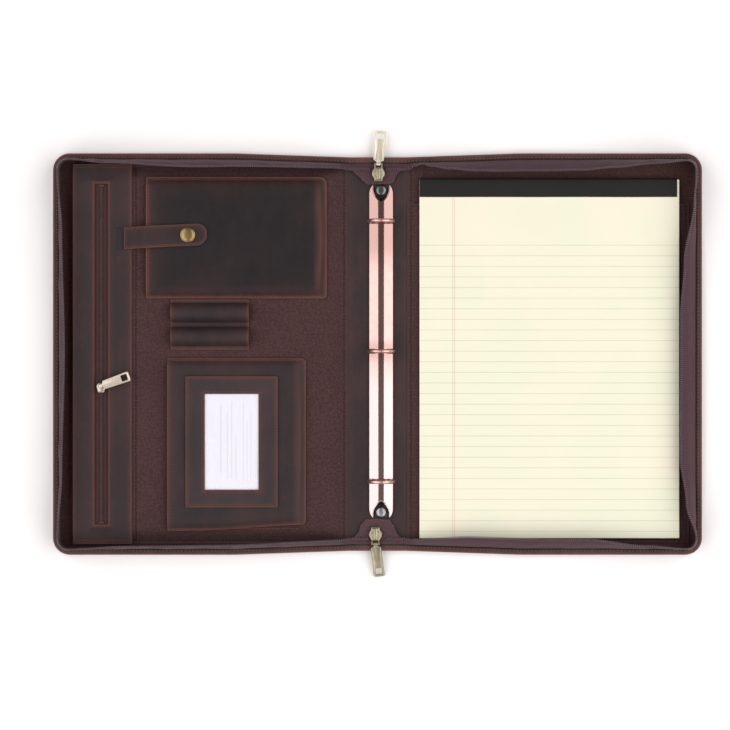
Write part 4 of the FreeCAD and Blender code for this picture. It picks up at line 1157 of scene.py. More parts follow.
shape = Shape()
across, reach, radius = pocketZip["stop"]
for end in (-1, 1):
    corners = rounded(mirrored([(across, -reach, radius), (across, reach, radius)]), 3)
    spot = Matrix.Translation((zipMiddle, end * (coilHigh[1] + pocketZip["stopGap"]), 0))
    plate(shape, corners, pocketZip["stopProfile"], spot)
add(shape, "pocketStops", "darkStop", "front_cover", "steel", "pocket_zip_stops")

pocketLook = {"thick": 1.5, "seamHeight": 1.9}


def pouch(box, top, rises, mouth):
    # height of a bulged pocket: rises are the slope widths at left, low, right and high edges
    left, low, right, high = box
    seamTop = panelTop + pocketLook["seamHeight"]

    def heightAt(x, y, inside):
        share = 1.0
        off = 2 * (y - (low + high) / 2) / (high - low)
        wide = rises[2] * (0.55 + 0.45 * off * off)
        for distance, width in ((y - low, rises[1]), (right - x, wide), (high - y, rises[3])):
            share *= ease((distance - 0.6) / width) ** 0.8
        share *= mix(mouth, 1.0, ease((x - left) / max(rises[0], 0.1)))
        wave = 0.16 * math.sin(x / 13 + y / 21) + 0.1 * math.sin(y / 7.3 - x / 11)
        return seamTop + (top - seamTop + wave) * share
    return heightAt


def paintedCrestHighlight(box, inset, bow, highlightShare, bordered):
    # painted highlight along the crest of the bulged right-hand edge, plus a lighter worn border round the
    # pocket
    def highlightAndWearAt(x, y):
        off = 2 * (y - (box[1] + box[3]) / 2) / (box[3] - box[1])
        line = box[2] - inset - bow * off * off
        margin = min(x - box[0], box[2] - x, y - box[1], box[3] - y)
        border = bordered * math.exp(-(max(margin, 0) / 5.5) ** 2)
        return highlightShare * math.exp(-((x - line) / 2.0) ** 2) * (1 - 0.5 * off * off) + border
    return highlightAndWearAt


def cardWarp(x, y, z):
    # the lower right corner of the card pocket is drawn up
    share = ease((x - cardBox[0]) / (cardBox[2] - cardBox[0])) ** 1.5
    return x, y + 5.0 * share * (cardBox[3] - y) / (cardBox[3] - cardBox[1]), z


# the pockets carry a painted highlight along the crest of their bulged right-hand edges
phoneLow, phoneHigh = cadLimits("phone_pocket")
phoneBox = outline(phoneLow, phoneHigh)
phoneTop = pouch(phoneBox, phoneHigh[2], (22, 7.5, 11, 7.5), 0.62)
phonePocket = Leaf(phoneBox, phoneTop, pocketLook["thick"], 0.7, corners=(1, 4, 1, 6), wear=1.1, step=5,
                   highlightAndWearAt=paintedCrestHighlight(phoneBox, 4.6, 4.5, 0.5, 0.22))
add(phonePocket, "phonePocket", "pocketLeather", "front_cover", "pocket_leather", "phone_pocket")
cardLow, cardHigh = cadLimits("card_pocket")
cardBox = outline(cardLow, cardHigh)
cardTop = pouch(cardBox, cardHigh[2] - 0.1, (12, 9, 11, 7.5), 0.8)
cardPocket = Leaf(cardBox, cardTop, pocketLook["thick"], 0.7, corners=(1, 4, 1, 4), wear=1.1, step=5,
                  highlightAndWearAt=paintedCrestHighlight(cardBox, 5.2, 1.0, 0.36, 0.05), warp=cardWarp)
add(cardPocket, "cardPocket", "panelLeather", "front_cover", "pocket_leather", "card_pocket")

loopLow, loopHigh = cadLimits("pen_loops")
loops = {
    "centres": (14.6, 34.4),
    "halfWidth": 8.0,
    "thick": 1.4,
}


def loopTop(x, y, inside):
    base = panelTop + loops["thick"] + 0.15
    height = 0.0
    for centre in loops["centres"]:
        share = abs(y - centre) / loops["halfWidth"]
        if share < 1:
            height = (1 - share ** 2.3) ** 0.75
    slack = 1 - 0.10 * ease((x - loopLow[0]) / 30) + 0.02 * math.sin(x / 5)
    return base + (loopHigh[2] - base) * height * slack


loopRows = [c + v * 0.5 for c in loops["centres"] for v in range(-16, 17)]
penLoops = Leaf(outline(loopLow, loopHigh), loopTop, loops["thick"], 0.6, wear=1.0, step=5, extraY=loopRows)
add(penLoops, "penLoops", "panelLeather", "front_cover", "pocket_leather", "pen_loops")

frameLow, frameHigh = cadLimits("window_frame")
frameBox = outline(frameLow, frameHigh)
windowLook = {
    "borderX": 16.0,
    "borderY": 14.8,
    "filmLift": 0.28,
    "filmThick": 0.12,
}
openingBox = (frameBox[0] + windowLook["borderX"], frameBox[1] + windowLook["borderY"],
              frameBox[2] - windowLook["borderX"], frameBox[3] - windowLook["borderY"])


def frameTop(x, y, inside):
    groove = 0.22 * math.exp(-((inside - 2.3) / 0.5) ** 2)
    return frameHigh[2] + 0.1 * math.sin(x / 9 + y / 14) - groove


def bowed(base):
    return lambda x, y, inside: base + 0.05 * math.sin(x / 9) * math.sin(y / 13)


def flat(height):
    return lambda x, y, inside: height


windowFrame = Leaf(frameBox, frameTop, 1.6, 0.6, corners=(1.2, 1.2, 1.2, 1.2), hole=openingBox, wear=0.9,
                   step=6)
add(windowFrame, "windowFrame", "frameLeather", "front_cover", "pocket_leather", "window_frame")
paints["cardPaint"] = insertCard("cardPaint", *openingBox)
sheetLow, sheetHigh = cadLimits("window_card")
sheetBox = outline(sheetLow, sheetHigh)
card = Leaf(sheetBox, bowed(sheetHigh[2]), 0.3, 0.1, corners=(3, 3, 3, 3), wear=0, step=9)
add(card, "insertCard", "cardPaint", "front_cover", "insert_card", "window_card")
film = Leaf(sheetBox, bowed(sheetHigh[2] + windowLook["filmLift"]), windowLook["filmThick"], 0.05,
            wear=0, step=9)
add(film, "windowFilm", "filmSheet", "front_cover", "clear_film", "window_film")

# the strap and its snap
strapLow, strapHigh = cadLimits("phone_strap")
snapLow, snapHigh = cadLimits("snap_cap")
anchorLow, anchorHigh = cadLimits("strap_anchor")
strap = {
    "thick": 1.4,
    "rootFlat": 7.0,
    "tilt": 0.047,      # the strap lies a little uphill to its tip
    "stitchInset": 1.9,
    "stitchSize": (0.75, 2.6),
}
rootTop = strapLow[2] + strap["thick"]
rootEnd = strapLow[0] + strap["rootFlat"]
strapRadius = (strapHigh[1] - strapLow[1]) / 2 - 0.05
tipStart = strapHigh[0] - strapRadius


def strapTop(x, y, inside):
    rise = ease((x - rootEnd) / (phoneLow[0] + 1.5 - rootEnd))
    groove = 0.12 * math.exp(-((inside - 1.9) / 0.4) ** 2)
    crown = 0.18 * ease(inside / 4)
    return mix(rootTop, strapHigh[2] - 0.1, rise) + crown - groove - 0.1


def strapWarp(x, y, z):
    return x, y + (x - strapLow[0]) * strap["tilt"], z


def strapFace(x, y):
    return strapTop(x, y - (x - strapLow[0]) * strap["tilt"], 2.5)


strapEdge = [strapHigh[0] - strapRadius * (1 - math.cos(math.radians(v))) for v in range(0, 91, 9)]
phoneStrap = Leaf(outline(strapLow, strapHigh), strapTop, strap["thick"], 0.6, step=3, wear=0.9,
                  corners=(0, strapRadius, 0, strapRadius), warp=strapWarp, extraX=strapEdge)
add(phoneStrap, "phoneStrap", "strapLeather", "strap", "pocket_leather", "phone_strap")
anchor = Leaf(outline(anchorLow, anchorHigh), flat(anchorHigh[2] - strap["thick"]), strap["thick"], 0.5,
              wear=0, step=4)
add(anchor, "strapAnchor", "panelLeather", "front_cover", "pocket_leather", "strap_anchor")

snapLook = {
    "stem": ((0.2, -0.3),),
    # inset from the edge, height
    "rim": ((0.9, -0.3), (0.2, -0.05), (0, 0.3), (0.15, 0.7), (0.6, 1.0), (0.9, 1.05)),
    "crownInset": 0.9,
    "crownBase": 1.1,
    "power": 0.8,
    "steps": 8,
    "last": 8.4,
}


def headProfile(radius, base, crown, look):
    # (radius, height) up the stem, round the rim and over the crown of a stud
    profile = [(reach, base + height) for reach, height in look["stem"]]
    profile += [(radius - inset, base + height) for inset, height in look["rim"]]
    for number in range(1, look["steps"] + 1):
        angle = math.radians(90 * number / look["last"])
        reach = (radius - look["crownInset"]) * math.cos(angle) ** look["power"]
        profile.append((reach, base + look["crownBase"] + crown * math.sin(angle)))
    return profile


shape = Shape()
snapMiddle = ((snapLow[0] + snapHigh[0]) / 2, (snapLow[1] + snapHigh[1]) / 2)
lathe(shape, snapMiddle, headProfile((snapHigh[0] - snapLow[0]) / 2, snapLow[2], 1.1, snapLook), 48)
add(shape, "snapCap", "brassMetal", "strap", "brass_snap", "snap_cap", sharp=50)

# stitches of the organiser
clothShape = Shape()
redShape = Shape()
inset = organizer["stitchInset"]
right = organizer["rightEdge"] - inset
left = stripHigh[0] + 3.4
high = panelHigh[1] - inset
border = [(left - 2, high), (right, high), (right, -high), (left - 2, -high)]
for path in (border, [(left, high), (left, -high)]):
    seam(clothShape, path, clothPanel.face, *organizer["stitchSize"])
add(clothShape, "organizerStitches", "darkThread", "front_cover", "lining_cloth")
seam(redShape, rectangle(window, -1.7), zipStrip.face, 0.8)
for end in (high, -high):
    seam(redShape, [(stripHigh[0] - 2, end), (stripLow[0] + 2.2, end)], zipStrip.face, 0.8)
seam(redShape, rectangle(frameBox, 2.3), windowFrame.face, 0.8)
seam(redShape, rectangle(openingBox, -2.3), windowFrame.face, 0.8)
for leaf in (phonePocket, cardPocket):
    left, low, right, high = leaf.box
    seam(redShape, [(left + 2.6, low + 2.4), (left + 2.6, high - 2.4)], leaf.face, 0.85)
    for y in (high - 2.0, low + 2.0):
        seam(redShape, [(left + 4, y), (right - 6, y)], leaf.face, 0.85)
for y in (loopLow[1] + 2.2, sum(loops["centres"]) / 2, loopHigh[1] - 2.2):
    seam(redShape, [(loopLow[0] + 2, y), (loopHigh[0] - 2, y)], penLoops.face, 0.8)
add(redShape, "pocketStitches", "redThread", "front_cover", "pocket_leather")

shape = Shape()
low = strapLow[1] + strap["stitchInset"]
high = strapHigh[1] - strap["stitchInset"]
path = [(strapLow[0] + 2, low), (tipStart, low)]
for number in range(1, 12):
    angle = math.radians(-90 + 15 * number)
    reach = strapRadius - strap["stitchInset"]
    middle = (strapLow[1] + strapHigh[1]) / 2
    path.append((tipStart + reach * math.cos(angle), middle + reach * math.sin(angle)))
path += [(tipStart, high), (strapLow[0] + 2, high)]
seam(shape, [strapWarp(x, y, 0)[:2] for x, y in path], strapFace, *strap["stitchSize"])
add(shape, "strapStitches", "redThread", "strap", "pocket_leather")


# the writing pad and its pocket
print("pad")
padPanelLow, padPanelHigh = cadLimits("pad_pocket_panel")
sheetsLow, sheetsHigh = cadLimits("pad_sheets")
topLow, topHigh = cadLimits("pad_top_sheet")
bandLow, bandHigh = cadLimits("pad_binding")
boardLow, boardHigh = cadLimits("pad_backing_board")
pad = {
    "pocketLeft": 24.6,
    "sewnTop": 5.8,
    "marginTop": 5.35,
    "bandShort": 1.7,       # the binding stops short of the right-hand page edges
    "bandDrop": 15.6,       # width of the binding on the face of the pad
    "sheetLayers": 9,
    # share of the thickness of a layer, inset
    "layer": ((0.04, 0.08), (0.16, 0.0), (0.84, 0.0), (0.96, 0.08)),
    "curl": 0.5,
}


def padPanelTop(x, y, inside):
    away = min(x - pad["pocketLeft"], padPanelHigh[0] - x, y - padPanelLow[1])
    rise = ease((away - 2.4) / 5)
    mouth = 0.12 * math.sin(x / 14) * math.exp(-(padPanelHigh[1] - y) / 12)
    return mix(pad["sewnTop"], padPanelHigh[2] - 0.15, rise) + mouth


def topSheetFace(x, y, inside):
    # lies flat, with the free corners a little lifted
    share = ease((topLow[1] + 60 - y) / 60)
    corner = ease((abs(x - (topLow[0] + topHigh[0]) / 2) - 60) / 48)
    wave = 0.05 * math.sin(x / 21 + 1) * math.sin(y / 34)
    return topHigh[2] - 0.1 + wave + pad["curl"] * share * corner * share


padPanel = Leaf((pad["pocketLeft"], padPanelLow[1], padPanelHigh[0], padPanelHigh[1]), padPanelTop, 1.0, 0.5,
                wear=1.2, step=8)
add(padPanel, "padPocket", "organizerCloth", "back_cover", "lining_cloth", "pad_pocket_panel")
margin = Leaf((pad["pocketLeft"], padPanelHigh[1] - 3, sheetsLow[0] + 3, halfLength - 8.6),
              flat(pad["marginTop"]), 0.5, 0.3, wear=0.8, step=8)
add(margin, "padMargin", "organizerCloth", "back_cover", "lining_cloth")

shape = Shape()
line = pad["pocketLeft"] + 3.2
low = padPanelLow[1] + 2.5
right = padPanelHigh[0] - 2.5
high = padPanelHigh[1]
seam(shape, [(line, halfLength - 11), (line, high + 1)], lambda x, y: pad["marginTop"],
     *organizer["stitchSize"])
seam(shape, [(line, high - 1), (line, low)], padPanel.face, *organizer["stitchSize"])
seam(shape, [(pad["pocketLeft"] + 2, high - 2.6), (padPanelHigh[0] - 3, high - 2.6)], padPanel.face, 0.9)
seam(shape, [(line, low), (right, low)], padPanel.face, 0.95)
seam(shape, [(right, low), (right, high - 2)], padPanel.face, 0.95)
add(shape, "padPocketStitches", "darkThread", "back_cover", "lining_cloth")

board = Leaf(outline(boardLow, boardHigh), bowed(boardHigh[2] - 0.06), 0.8, 0.15, wear=0.6, step=20)
add(board, "padBoard", "padBoard", "writing_pad", "pad_board", "pad_backing_board")

paints["sheetPaint"] = ruledPaper("sheetPaint", topLow[0], bandHigh[1])
shape = Shape()
rings = []
left, low, right, high = outline(sheetsLow, sheetsHigh)
thick = (sheetsHigh[2] - sheetsLow[2]) / pad["sheetLayers"]
for number in range(pad["sheetLayers"]):
    shift = random.uniform(-0.12, 0.12)
    lift = mix(sheetsLow[2], sheetsHigh[2], number / pad["sheetLayers"])
    corners = [(left - shift * 0.4, low + shift), (right + shift, low - shift * 0.5),
               (right - shift, high - 0.3), (left + shift, high - 0.3)]
    for part, inset in pad["layer"]:
        rings.append([(x, y, lift + thick * part) for x, y in grown(corners, inset)])
shape.loft(rings)
add(shape, "padSheets", "padEdges", "writing_pad", "pad_paper", "pad_sheets", sharp=25)

firstPage = Leaf((left + 0.1, low + 0.1, right - 0.1, high - 0.4), flat(sheetsHigh[2] + 0.06), 0.08, 0.02,
                 wear=0, step=14)
add(firstPage, "firstPage", "sheetPaint", "writing_pad", "pad_paper")
topSheet = Leaf(outline(topLow, topHigh), topSheetFace, 0.14, 0.05, wear=0, step=10)
add(topSheet, "topSheet", "sheetPaint", "top_sheet", "pad_paper", "pad_top_sheet", sharp=60)

bandTop = bandHigh[2]
bandBase = bandLow[2]
bandBack = bandHigh[1]
bandFront = bandBack - pad["bandDrop"]
section = [
    # over the face of the pad, down its back and under it, then back along the inside
    (bandFront, bandTop - 0.28), (bandFront + 0.15, bandTop + 0.05), (bandFront + 1, bandTop + 0.12),
    (bandBack - 6, bandTop + 0.14), (bandBack - 2.2, bandTop + 0.1), (bandBack - 0.9, bandTop - 0.25),
    (bandBack - 0.2, bandTop - 0.9), (bandBack, bandTop - 1.8), (bandBack, bandBase + 1.2),
    (bandBack - 0.3, bandBase + 0.3), (bandBack - 1, bandBase - 0.02), (bandLow[1], bandBase - 0.02),
    (bandLow[1], bandBase + 0.02), (bandBack - 1.2, bandBase + 0.1), (bandBack - 0.6, bandBase + 1.4),
    (bandBack - 0.6, bandTop - 1.8), (bandBack - 1.6, bandTop - 0.6), (bandBack - 3, bandTop - 0.4),
    (bandFront, bandTop - 0.4),
]
shape = Shape()
rings = []
for number in range(41):
    x = mix(bandLow[0], bandHigh[0] - pad["bandShort"], number / 40)
    wave = 0.05 * math.sin(x / 12)
    rings.append([(x, y + wave * (1 if y < bandFront + 2 else 0), z + wave * 0.6) for y, z in section])
shape.loft(rings)
add(shape, "padBinding", "bindingPaper", "writing_pad", "pad_binding", "pad_binding", sharp=35)


# the ring metal
print("rings")
plateLow, plateHigh = cadLimits("ring_cover_plate")
ringLow, ringHigh = cadLimits("left_half_rings")
rightRingHigh = cadLimits("right_half_rings")[1]
rivetLow, rivetHigh = cadLimits("ring_rivets")
ringMetal = {
    "wire": 3.3,
    "ringGap": 0.15,
    # joint where two half rings meet: place in the path, share of the step, width
    "nose": ((1, 0.12, 0.96), (2, 0.3, 1.0), (3, 0.2, 0.86), (4, 0.2, 1.0)),
    "lip": 1.8,
    "thick": 0.8,
    "slotInner": 4.9,
    "slotOuter": 9.75,
    "slotHalf": 2.1,
    "notchLength": 13.8,
    "notchHalf": 6.6,
    "armTaper": 3.0,
    "armLength": 9.0,
    "tipRound": 1.6,
    "notchCurl": 0.55,
    "rowPitch": 7.3,
    "endProfile": ((0.3, 4.95), (0, 5.1), (0, 5.35), (0.25, 5.5)),
}
plateX = (plateLow[0] + plateHigh[0]) / 2
plateY = (plateLow[1] + plateHigh[1]) / 2
plateHalf = (plateHigh[1] - plateLow[1]) / 2
plateReach = (plateHigh[0] - plateLow[0]) / 2
rise = plateHigh[2] - plateLow[2] - ringMetal["lip"]
archRadius = (plateReach ** 2 + rise ** 2) / (2 * rise)
wireRadius = ringMetal["wire"] / 2
ringRadius = (rightRingHigh[0] - ringLow[0]) / 2 - wireRadius
ringRows = [plateY + k * (ringHigh[1] - ringLow[1] - ringMetal["wire"]) / 2 for k in (-1, 0, 1)]


def archHeight(x):
    return plateHigh[2] - archRadius + math.sqrt(max(archRadius ** 2 - x ** 2, 0.0))


def armSpan(end):
    # inner and outer half width of the plate at a distance from its end
    inner = 0.0
    if end < ringMetal["notchLength"]:
        inner = ringMetal["notchHalf"] * (1 - (end / ringMetal["notchLength"]) ** 2.8)
    outer = plateReach
    if end < ringMetal["armLength"]:
        outer -= ringMetal["armTaper"] * (1 - end / ringMetal["armLength"]) ** 2
    if end < ringMetal["tipRound"]:
        middle = (inner + outer) / 2
        share = math.sqrt(max(1 - (1 - end / ringMetal["tipRound"]) ** 2, 0.0)) * 0.94 + 0.06
        inner = mix(middle, inner, share)
        outer = mix(middle, outer, share)
    return inner, outer


def coverPlate():
    slotInner = ringMetal["slotInner"]
    slotOuter = ringMetal["slotOuter"]
    slotHalf = ringMetal["slotHalf"]
    columns = [0, 0.5, 1.1, 1.8, 2.6, 3.4, 4.2, slotInner, 5.8, 6.8, 7.8, 8.8, slotOuter,
               plateReach - 0.15, plateReach]
    ends = [0, 0.1, 0.3, 0.6, 1.0, 1.5, 2.2, 3, 4, 5, 6, 7, 8, 9, 10, 11, 12, 12.8, 13.4, 13.8, 14.3, 15]
    rows = {round(plateY + way * (plateHalf - e), 3) for e in ends for way in (-1, 1)}
    for y in ringRows:
        rows |= {round(y + v, 3) for v in (-3, -slotHalf, 0, slotHalf, 3)}
    place = plateLow[1] + 18
    while place < plateHigh[1] - 14:
        rows.add(round(place, 3))
        place += ringMetal["rowPitch"]
    rows = sorted(rows)
    shape = Shape()
    for way in (-1, 1):
        grid = []
        for y in rows:
            end = plateHalf - abs(y - plateY)
            inner, outer = armSpan(end)
            line = []
            for number, column in enumerate(columns):
                x = inner + (outer - inner) * column / plateReach
                z = archHeight(x)
                curl = ease(inner / 1.5) + 0.4 * math.exp(-abs(end - ringMetal["notchLength"]) / 0.8)
                z -= ringMetal["notchCurl"] * min(curl, 1) * math.exp(-((x - inner) / 0.55) ** 2)
                if number == len(columns) - 1:
                    z -= 0.22
                line.append(shape.point((plateX + way * x, y, z)))
            line.append(shape.point((plateX + way * outer, y, plateLow[2] + 0.1)))
            grid.append(line)
        for k, (first, second) in enumerate(zip(grid, grid[1:])):
            middle = (rows[k] + rows[k + 1]) / 2
            slotRow = min(abs(middle - y) for y in ringRows) < slotHalf
            for c, column in enumerate(columns):
                if slotRow and slotInner <= column < slotOuter:
                    continue
                shape.faces.append((first[c], first[c + 1], second[c + 1], second[c]))
    piece = solid(shape.build("ringCover", "copperPlating", 45), ringMetal["thick"], 45)
    fix(piece, "spine", "copper_metal", "ring_cover_plate")


def halfRings(side, way):
    shape = Shape()
    centre = ringHigh[2] - wireRadius - ringRadius
    start = 90 + math.degrees(ringMetal["ringGap"] / ringRadius)
    end = 180 + math.degrees(math.acos(0.7))
    for y in ringRows:
        path = []
        for number in range(25):
            angle = math.radians(mix(start, end, number / 24))
            x = plateX + way * ringRadius * math.cos(angle)
            path.append((x, y, centre + ringRadius * math.sin(angle)))
        foot = path[-1][0]
        path += [(foot, y, centre - ringRadius * 0.74 - 1.2), (foot, y, ringLow[2])]
        widths = [wireRadius] * len(path)
        widths[0] *= 0.72
        for k, share, width in ringMetal["nose"]:
            path.insert(k, tuple(mix(Vector(path[k - 1]), Vector(path[k]), share)))
            widths.insert(k, wireRadius * width)
        tube(shape, path, widths, 18)
    add(shape, side + "HalfRings", "ringCopper", side + "_ring_blade", "copper_metal", side + "_half_rings",
        sharp=60)


# the copper plating carries a painted reflection: paler towards one end, deeper at the other and beside the
# middle ring
paints["copperPlating"] = polishedMetal("copperPlating", (205, 175, 169), (191, 157, 150), 0.075,
                                        (6.0, 0.08, 6.0), 0.03, paintedPlateReflection)
coverPlate()
halfRings("left", 1)
halfRings("right", -1)

# rivets, and the end pieces that they hold, coloured near-black as painted shade and dark reflection in the
# notch
rivetLook = {
    "radius": 4.1,
    "headDepth": 2.6,
    "stem": ((1.6, -1.2), (1.6, 0)),
    # inset from the edge, height
    "rim": ((0.3, 0), (0, 0.25), (0, 0.8), (0.12, 1.2), (0.45, 1.55), (0.9, 1.7), (1.15, 1.62), (1.3, 1.66)),
    "crownInset": 1.35,
    "crownBase": 1.66,
    "power": 0.7,
    "steps": 7,
    "last": 7.3,
}
rivetReach = (rivetHigh[1] - rivetLow[1]) / 2 - rivetLook["radius"]
rivetX = (rivetLow[0] + rivetHigh[0]) / 2
# the top rivet takes a darker copy of the rivet metal as a painted dark reflection, and the bottom one the
# lighter copy
for name, way, paint, crown, nodes in (
        ("topRivet", 1, "rivetMetal", 0.14, ("ring_rivets",)), ("bottomRivet", -1, "brightMetal", 0.3, ())):
    shape = Shape()
    profile = headProfile(rivetLook["radius"], rivetHigh[2] - rivetLook["headDepth"], crown, rivetLook)
    lathe(shape, (rivetX, plateY + way * rivetReach), profile, 44)
    add(shape, name, paint, "spine", "gunmetal", *nodes, sharp=45)
shape = Shape()
corners = rounded(mirrored([(6.6, -15, 0), (6.6, 0.6, 4.5)]), 6)
for way in (1, -1):
    spot = Matrix.Translation((plateX, plateY + way * plateHalf, 0)) @ Matrix.Diagonal((1, way, 1, 1))
    plate(shape, corners, ringMetal["endProfile"], spot)
add(shape, "ringEnds", "darkMetal", "spine", "gunmetal", sharp=40)


# sliders and pulls
print("zip metal")
sliderLook = {
    "length": 12.0,
    "crown": 5.5,
    "tail": 3.6,
    "endInset": 3.6,
    # inset, height above the base
    "profile": ((0.35, 0), (0, 0.3), (0, 1.1), (0.25, 1.25), (0.9, 1.3), (0.9, 2.0), (0.25, 2.05), (0, 2.2),
                (0, 2.9), (0.22, 3.35), (0.7, 3.7), (1.4, 3.85)),
    # bridge that the pull hangs from: place, height
    "bridge": ((-10.6, 3.5), (-10.2, 4.15), (-9.0, 4.5), (-6.0, 4.62), (-3.0, 4.55), (-1.2, 4.2),
               (-0.6, 3.5)),
    "bridgeBase": 3.4,
    "arch": ((-1, 0), (-1, 0.75), (-0.7, 1), (0.7, 1), (1, 0.75), (1, 0)),
    "ear": [(-1.2, 1.4, 0.3), (3.4, 1.5, 0.9), (3.4, 4.1, 1.2), (1.0, 4.2, 1.0), (-1.2, 3.6, 0.5)],
    "earAt": 2.8,
    "earProfile": ((0.25, -0.6), (0, -0.35), (0, 0.35), (0.25, 0.6)),
}
pullLook = {
    "neck": 1.75,
    "neckLength": 2.6,
    "width": 4.35,
    "tipWidth": 4.7,
    "length": 28.3,
    "thick": 1.4,
    "window": 2.6,
    "rim": 2.0,
    "bevel": 0.28,
    "eye": 0.78,
}


def mainSlider(name, node, pinNode, x, way):
    low, high = cadLimits(node)
    base = low[2]
    outer = (high[1] if way > 0 else -low[1]) - sliderLook["endInset"]
    place = Matrix.Translation((x, way * outer, 0)) @ Matrix.Diagonal((1, way, 1, 1))
    tail = sliderLook["tail"]
    crown = sliderLook["crown"]
    corners = rounded(mirrored([
        (tail, -sliderLook["length"], 0.8), (tail + 0.2, -9.2, 0.9), (crown, -7.0, 1.0),
        (crown - 0.1, -4.2, 2.2), (3.1, -0.3, 1.8),
    ]), 5)
    shape = Shape()
    plate(shape, corners, sliderLook["profile"], place, base)
    rings = []
    foot = sliderLook["bridgeBase"]
    for y, z in sliderLook["bridge"]:
        half = 1.45 if z > 3.6 else 1.6
        rings.append([place @ Vector((a * half, y, base + foot + b * (z - foot)))
                      for a, b in sliderLook["arch"]])
    shape.loft(rings)
    for side in (-1, 1):
        turn = Matrix(((0, 0, 1, side * sliderLook["earAt"]), (1, 0, 0, 0), (0, 1, 0, base), (0, 0, 0, 1)))
        plate(shape, rounded(sliderLook["ear"], 4), sliderLook["earProfile"], place @ turn)
    add(shape, name, "agedMetal", "spine", "aged_metal" if way < 0 else "pull_metal", node, sharp=40)
    shape = Shape()
    low, high = cadLimits(pinNode)
    radius = (high[2] - low[2]) / 2
    ends = (low[0], low[0] + 0.2, high[0] - 0.2, high[0])
    path = [(v, (low[1] + high[1]) / 2, (low[2] + high[2]) / 2) for v in ends]
    tube(shape, path, [radius * 0.7, radius, radius, radius * 0.7], 20)
    add(shape, name + "Pin", "steelMetal", "spine", "steel", pinNode, sharp=40)


def pullTab(name, node, body, place, paint, slotName, look):
    neck = look["neck"]
    corners = rounded(mirrored([
        (neck, -0.2, 0), (neck, look["neckLength"] - 0.6, 0.4),
        (look["width"], look["neckLength"] + 0.5, 1.0), (look["tipWidth"], look["length"], 1.5),
    ]), 5)
    full = []
    for (x, y), (nextX, nextY) in zip(corners, corners[1:] + corners[:1]):
        pieces = max(int(math.hypot(nextX - x, nextY - y) / 1.3), 1)
        full += [(mix(x, nextX, k / pieces), mix(y, nextY, k / pieces)) for k in range(pieces)]
    middle = look["length"] - look["rim"] - look["window"]
    hole = []
    for x, y in full:
        angle = math.atan2(y - middle, x)
        reach = look["window"] / (abs(math.cos(angle)) ** 9 + abs(math.sin(angle)) ** 9) ** (1 / 9)
        hole.append((reach * math.cos(angle), reach * math.sin(angle)))
    bevel = look["bevel"]
    half = look["thick"] / 2
    rings = []
    for inset, z in ((bevel, -half), (0, bevel - half), (0, half - bevel), (bevel, half), (1.05, half),
                     (1.3, half - 0.16)):
        rings.append([place @ Vector((x, y, z)) for x, y in grown(full, inset)])
    for grow, z in ((1.16, half - 0.16), (1.10, half), (1.05, half), (1.0, half - bevel), (1.0, bevel - half),
                    (1.05, -half)):
        rings.append([place @ Vector((x * grow, middle + y * grow, z)) for x, y in hole])
    shape = Shape()
    shape.loft(rings + rings[:1], caps=False)
    rings = []
    for across, radius in ((-neck, 1.35), (0.25 - neck, 1.55), (neck - 0.25, 1.55), (neck, 1.35),
                           (neck, look["eye"]), (-neck, look["eye"])):
        rings.append([place @ Vector((across, radius * a, radius * b)) for a, b in circle(20)])
    shape.loft(rings + rings[:1], caps=False)
    add(shape, name, paint, body, slotName, node, sharp=38)


def hung(pin, turn, droop):
    # place of a pull: turned in plan, then leaning on its pin, in degrees
    return (Matrix.Translation(pin) @ Matrix.Rotation(math.radians(turn), 4, "Z")
            @ Matrix.Rotation(math.radians(droop), 4, "X"))


topPin = jointPlace("top_pull_swing")
lowPin = jointPlace("bottom_pull_swing")
hangs = {"top": (-4, -9), "bottom": (187, -14), "pocket": (19.5 - 90, -3.5)}
mainSlider("topSlider", "top_slider", "top_bail_pin", topPin[0], 1)
mainSlider("bottomSlider", "bottom_slider", "bottom_bail_pin", lowPin[0], -1)
pullTab("topPull", "top_pull", "top_zip_pull", hung(topPin, *hangs["top"]), "champagneMetal",
        "pull_metal", pullLook)
pullTab("bottomPull", "bottom_pull", "bottom_zip_pull", hung(lowPin, *hangs["bottom"]), "agedMetal",
        "aged_metal", pullLook)

# the slider of the zip pocket
pocketSlider = {
    "half": [(2.5, -4.1, 1.0), (4.1, 1.4, 1.6), (2.7, 4.1, 1.6)],
    "base": 11.9,
    "profile": ((0.3, 0), (0, 0.25), (0, 1.2), (0.2, 1.7), (0.7, 2.1), (1.5, 2.3)),
    "tilt": 16,
    "ear": [(1.9, 0.2, 0.3), (1.5, 5.0, 1.4)],
    "earAt": 2.75,
    "earBase": 13.4,
    "earProfile": ((0.3, -0.5), (0, -0.25), (0, 0.25), (0.3, 0.5)),
    # place along the pin, radius
    "pin": ((-3.4, 0.49), (-3.2, 0.7), (3.2, 0.7), (3.4, 0.49)),
    "pullShift": (-0.3, 1.4, 0.1),
    "pull": dict(pullLook, length=25.6, neck=1.6, width=3.7, tipWidth=4.3, window=2.5, rim=2.2),
}
sliderLow, sliderHigh = cadLimits("pocket_slider")
pocketPin = Vector(jointPlace("pocket_pull_swing"))
spot = Matrix.Translation(((sliderLow[0] + sliderHigh[0]) / 2, (sliderLow[1] + sliderHigh[1]) / 2, 0))
tilt = Matrix.Rotation(math.radians(pocketSlider["tilt"]), 4, "Z")
shape = Shape()
plate(shape, rounded(mirrored(pocketSlider["half"]), 6), pocketSlider["profile"], spot, pocketSlider["base"])
for side in (-1, 1):
    turn = Matrix(((1, 0, 0, 0), (0, 0, -1, side * pocketSlider["earAt"]), (0, 1, 0, pocketSlider["earBase"]),
                   (0, 0, 0, 1)))
    plate(shape, rounded(mirrored(pocketSlider["ear"]), 5), pocketSlider["earProfile"], spot @ tilt @ turn)
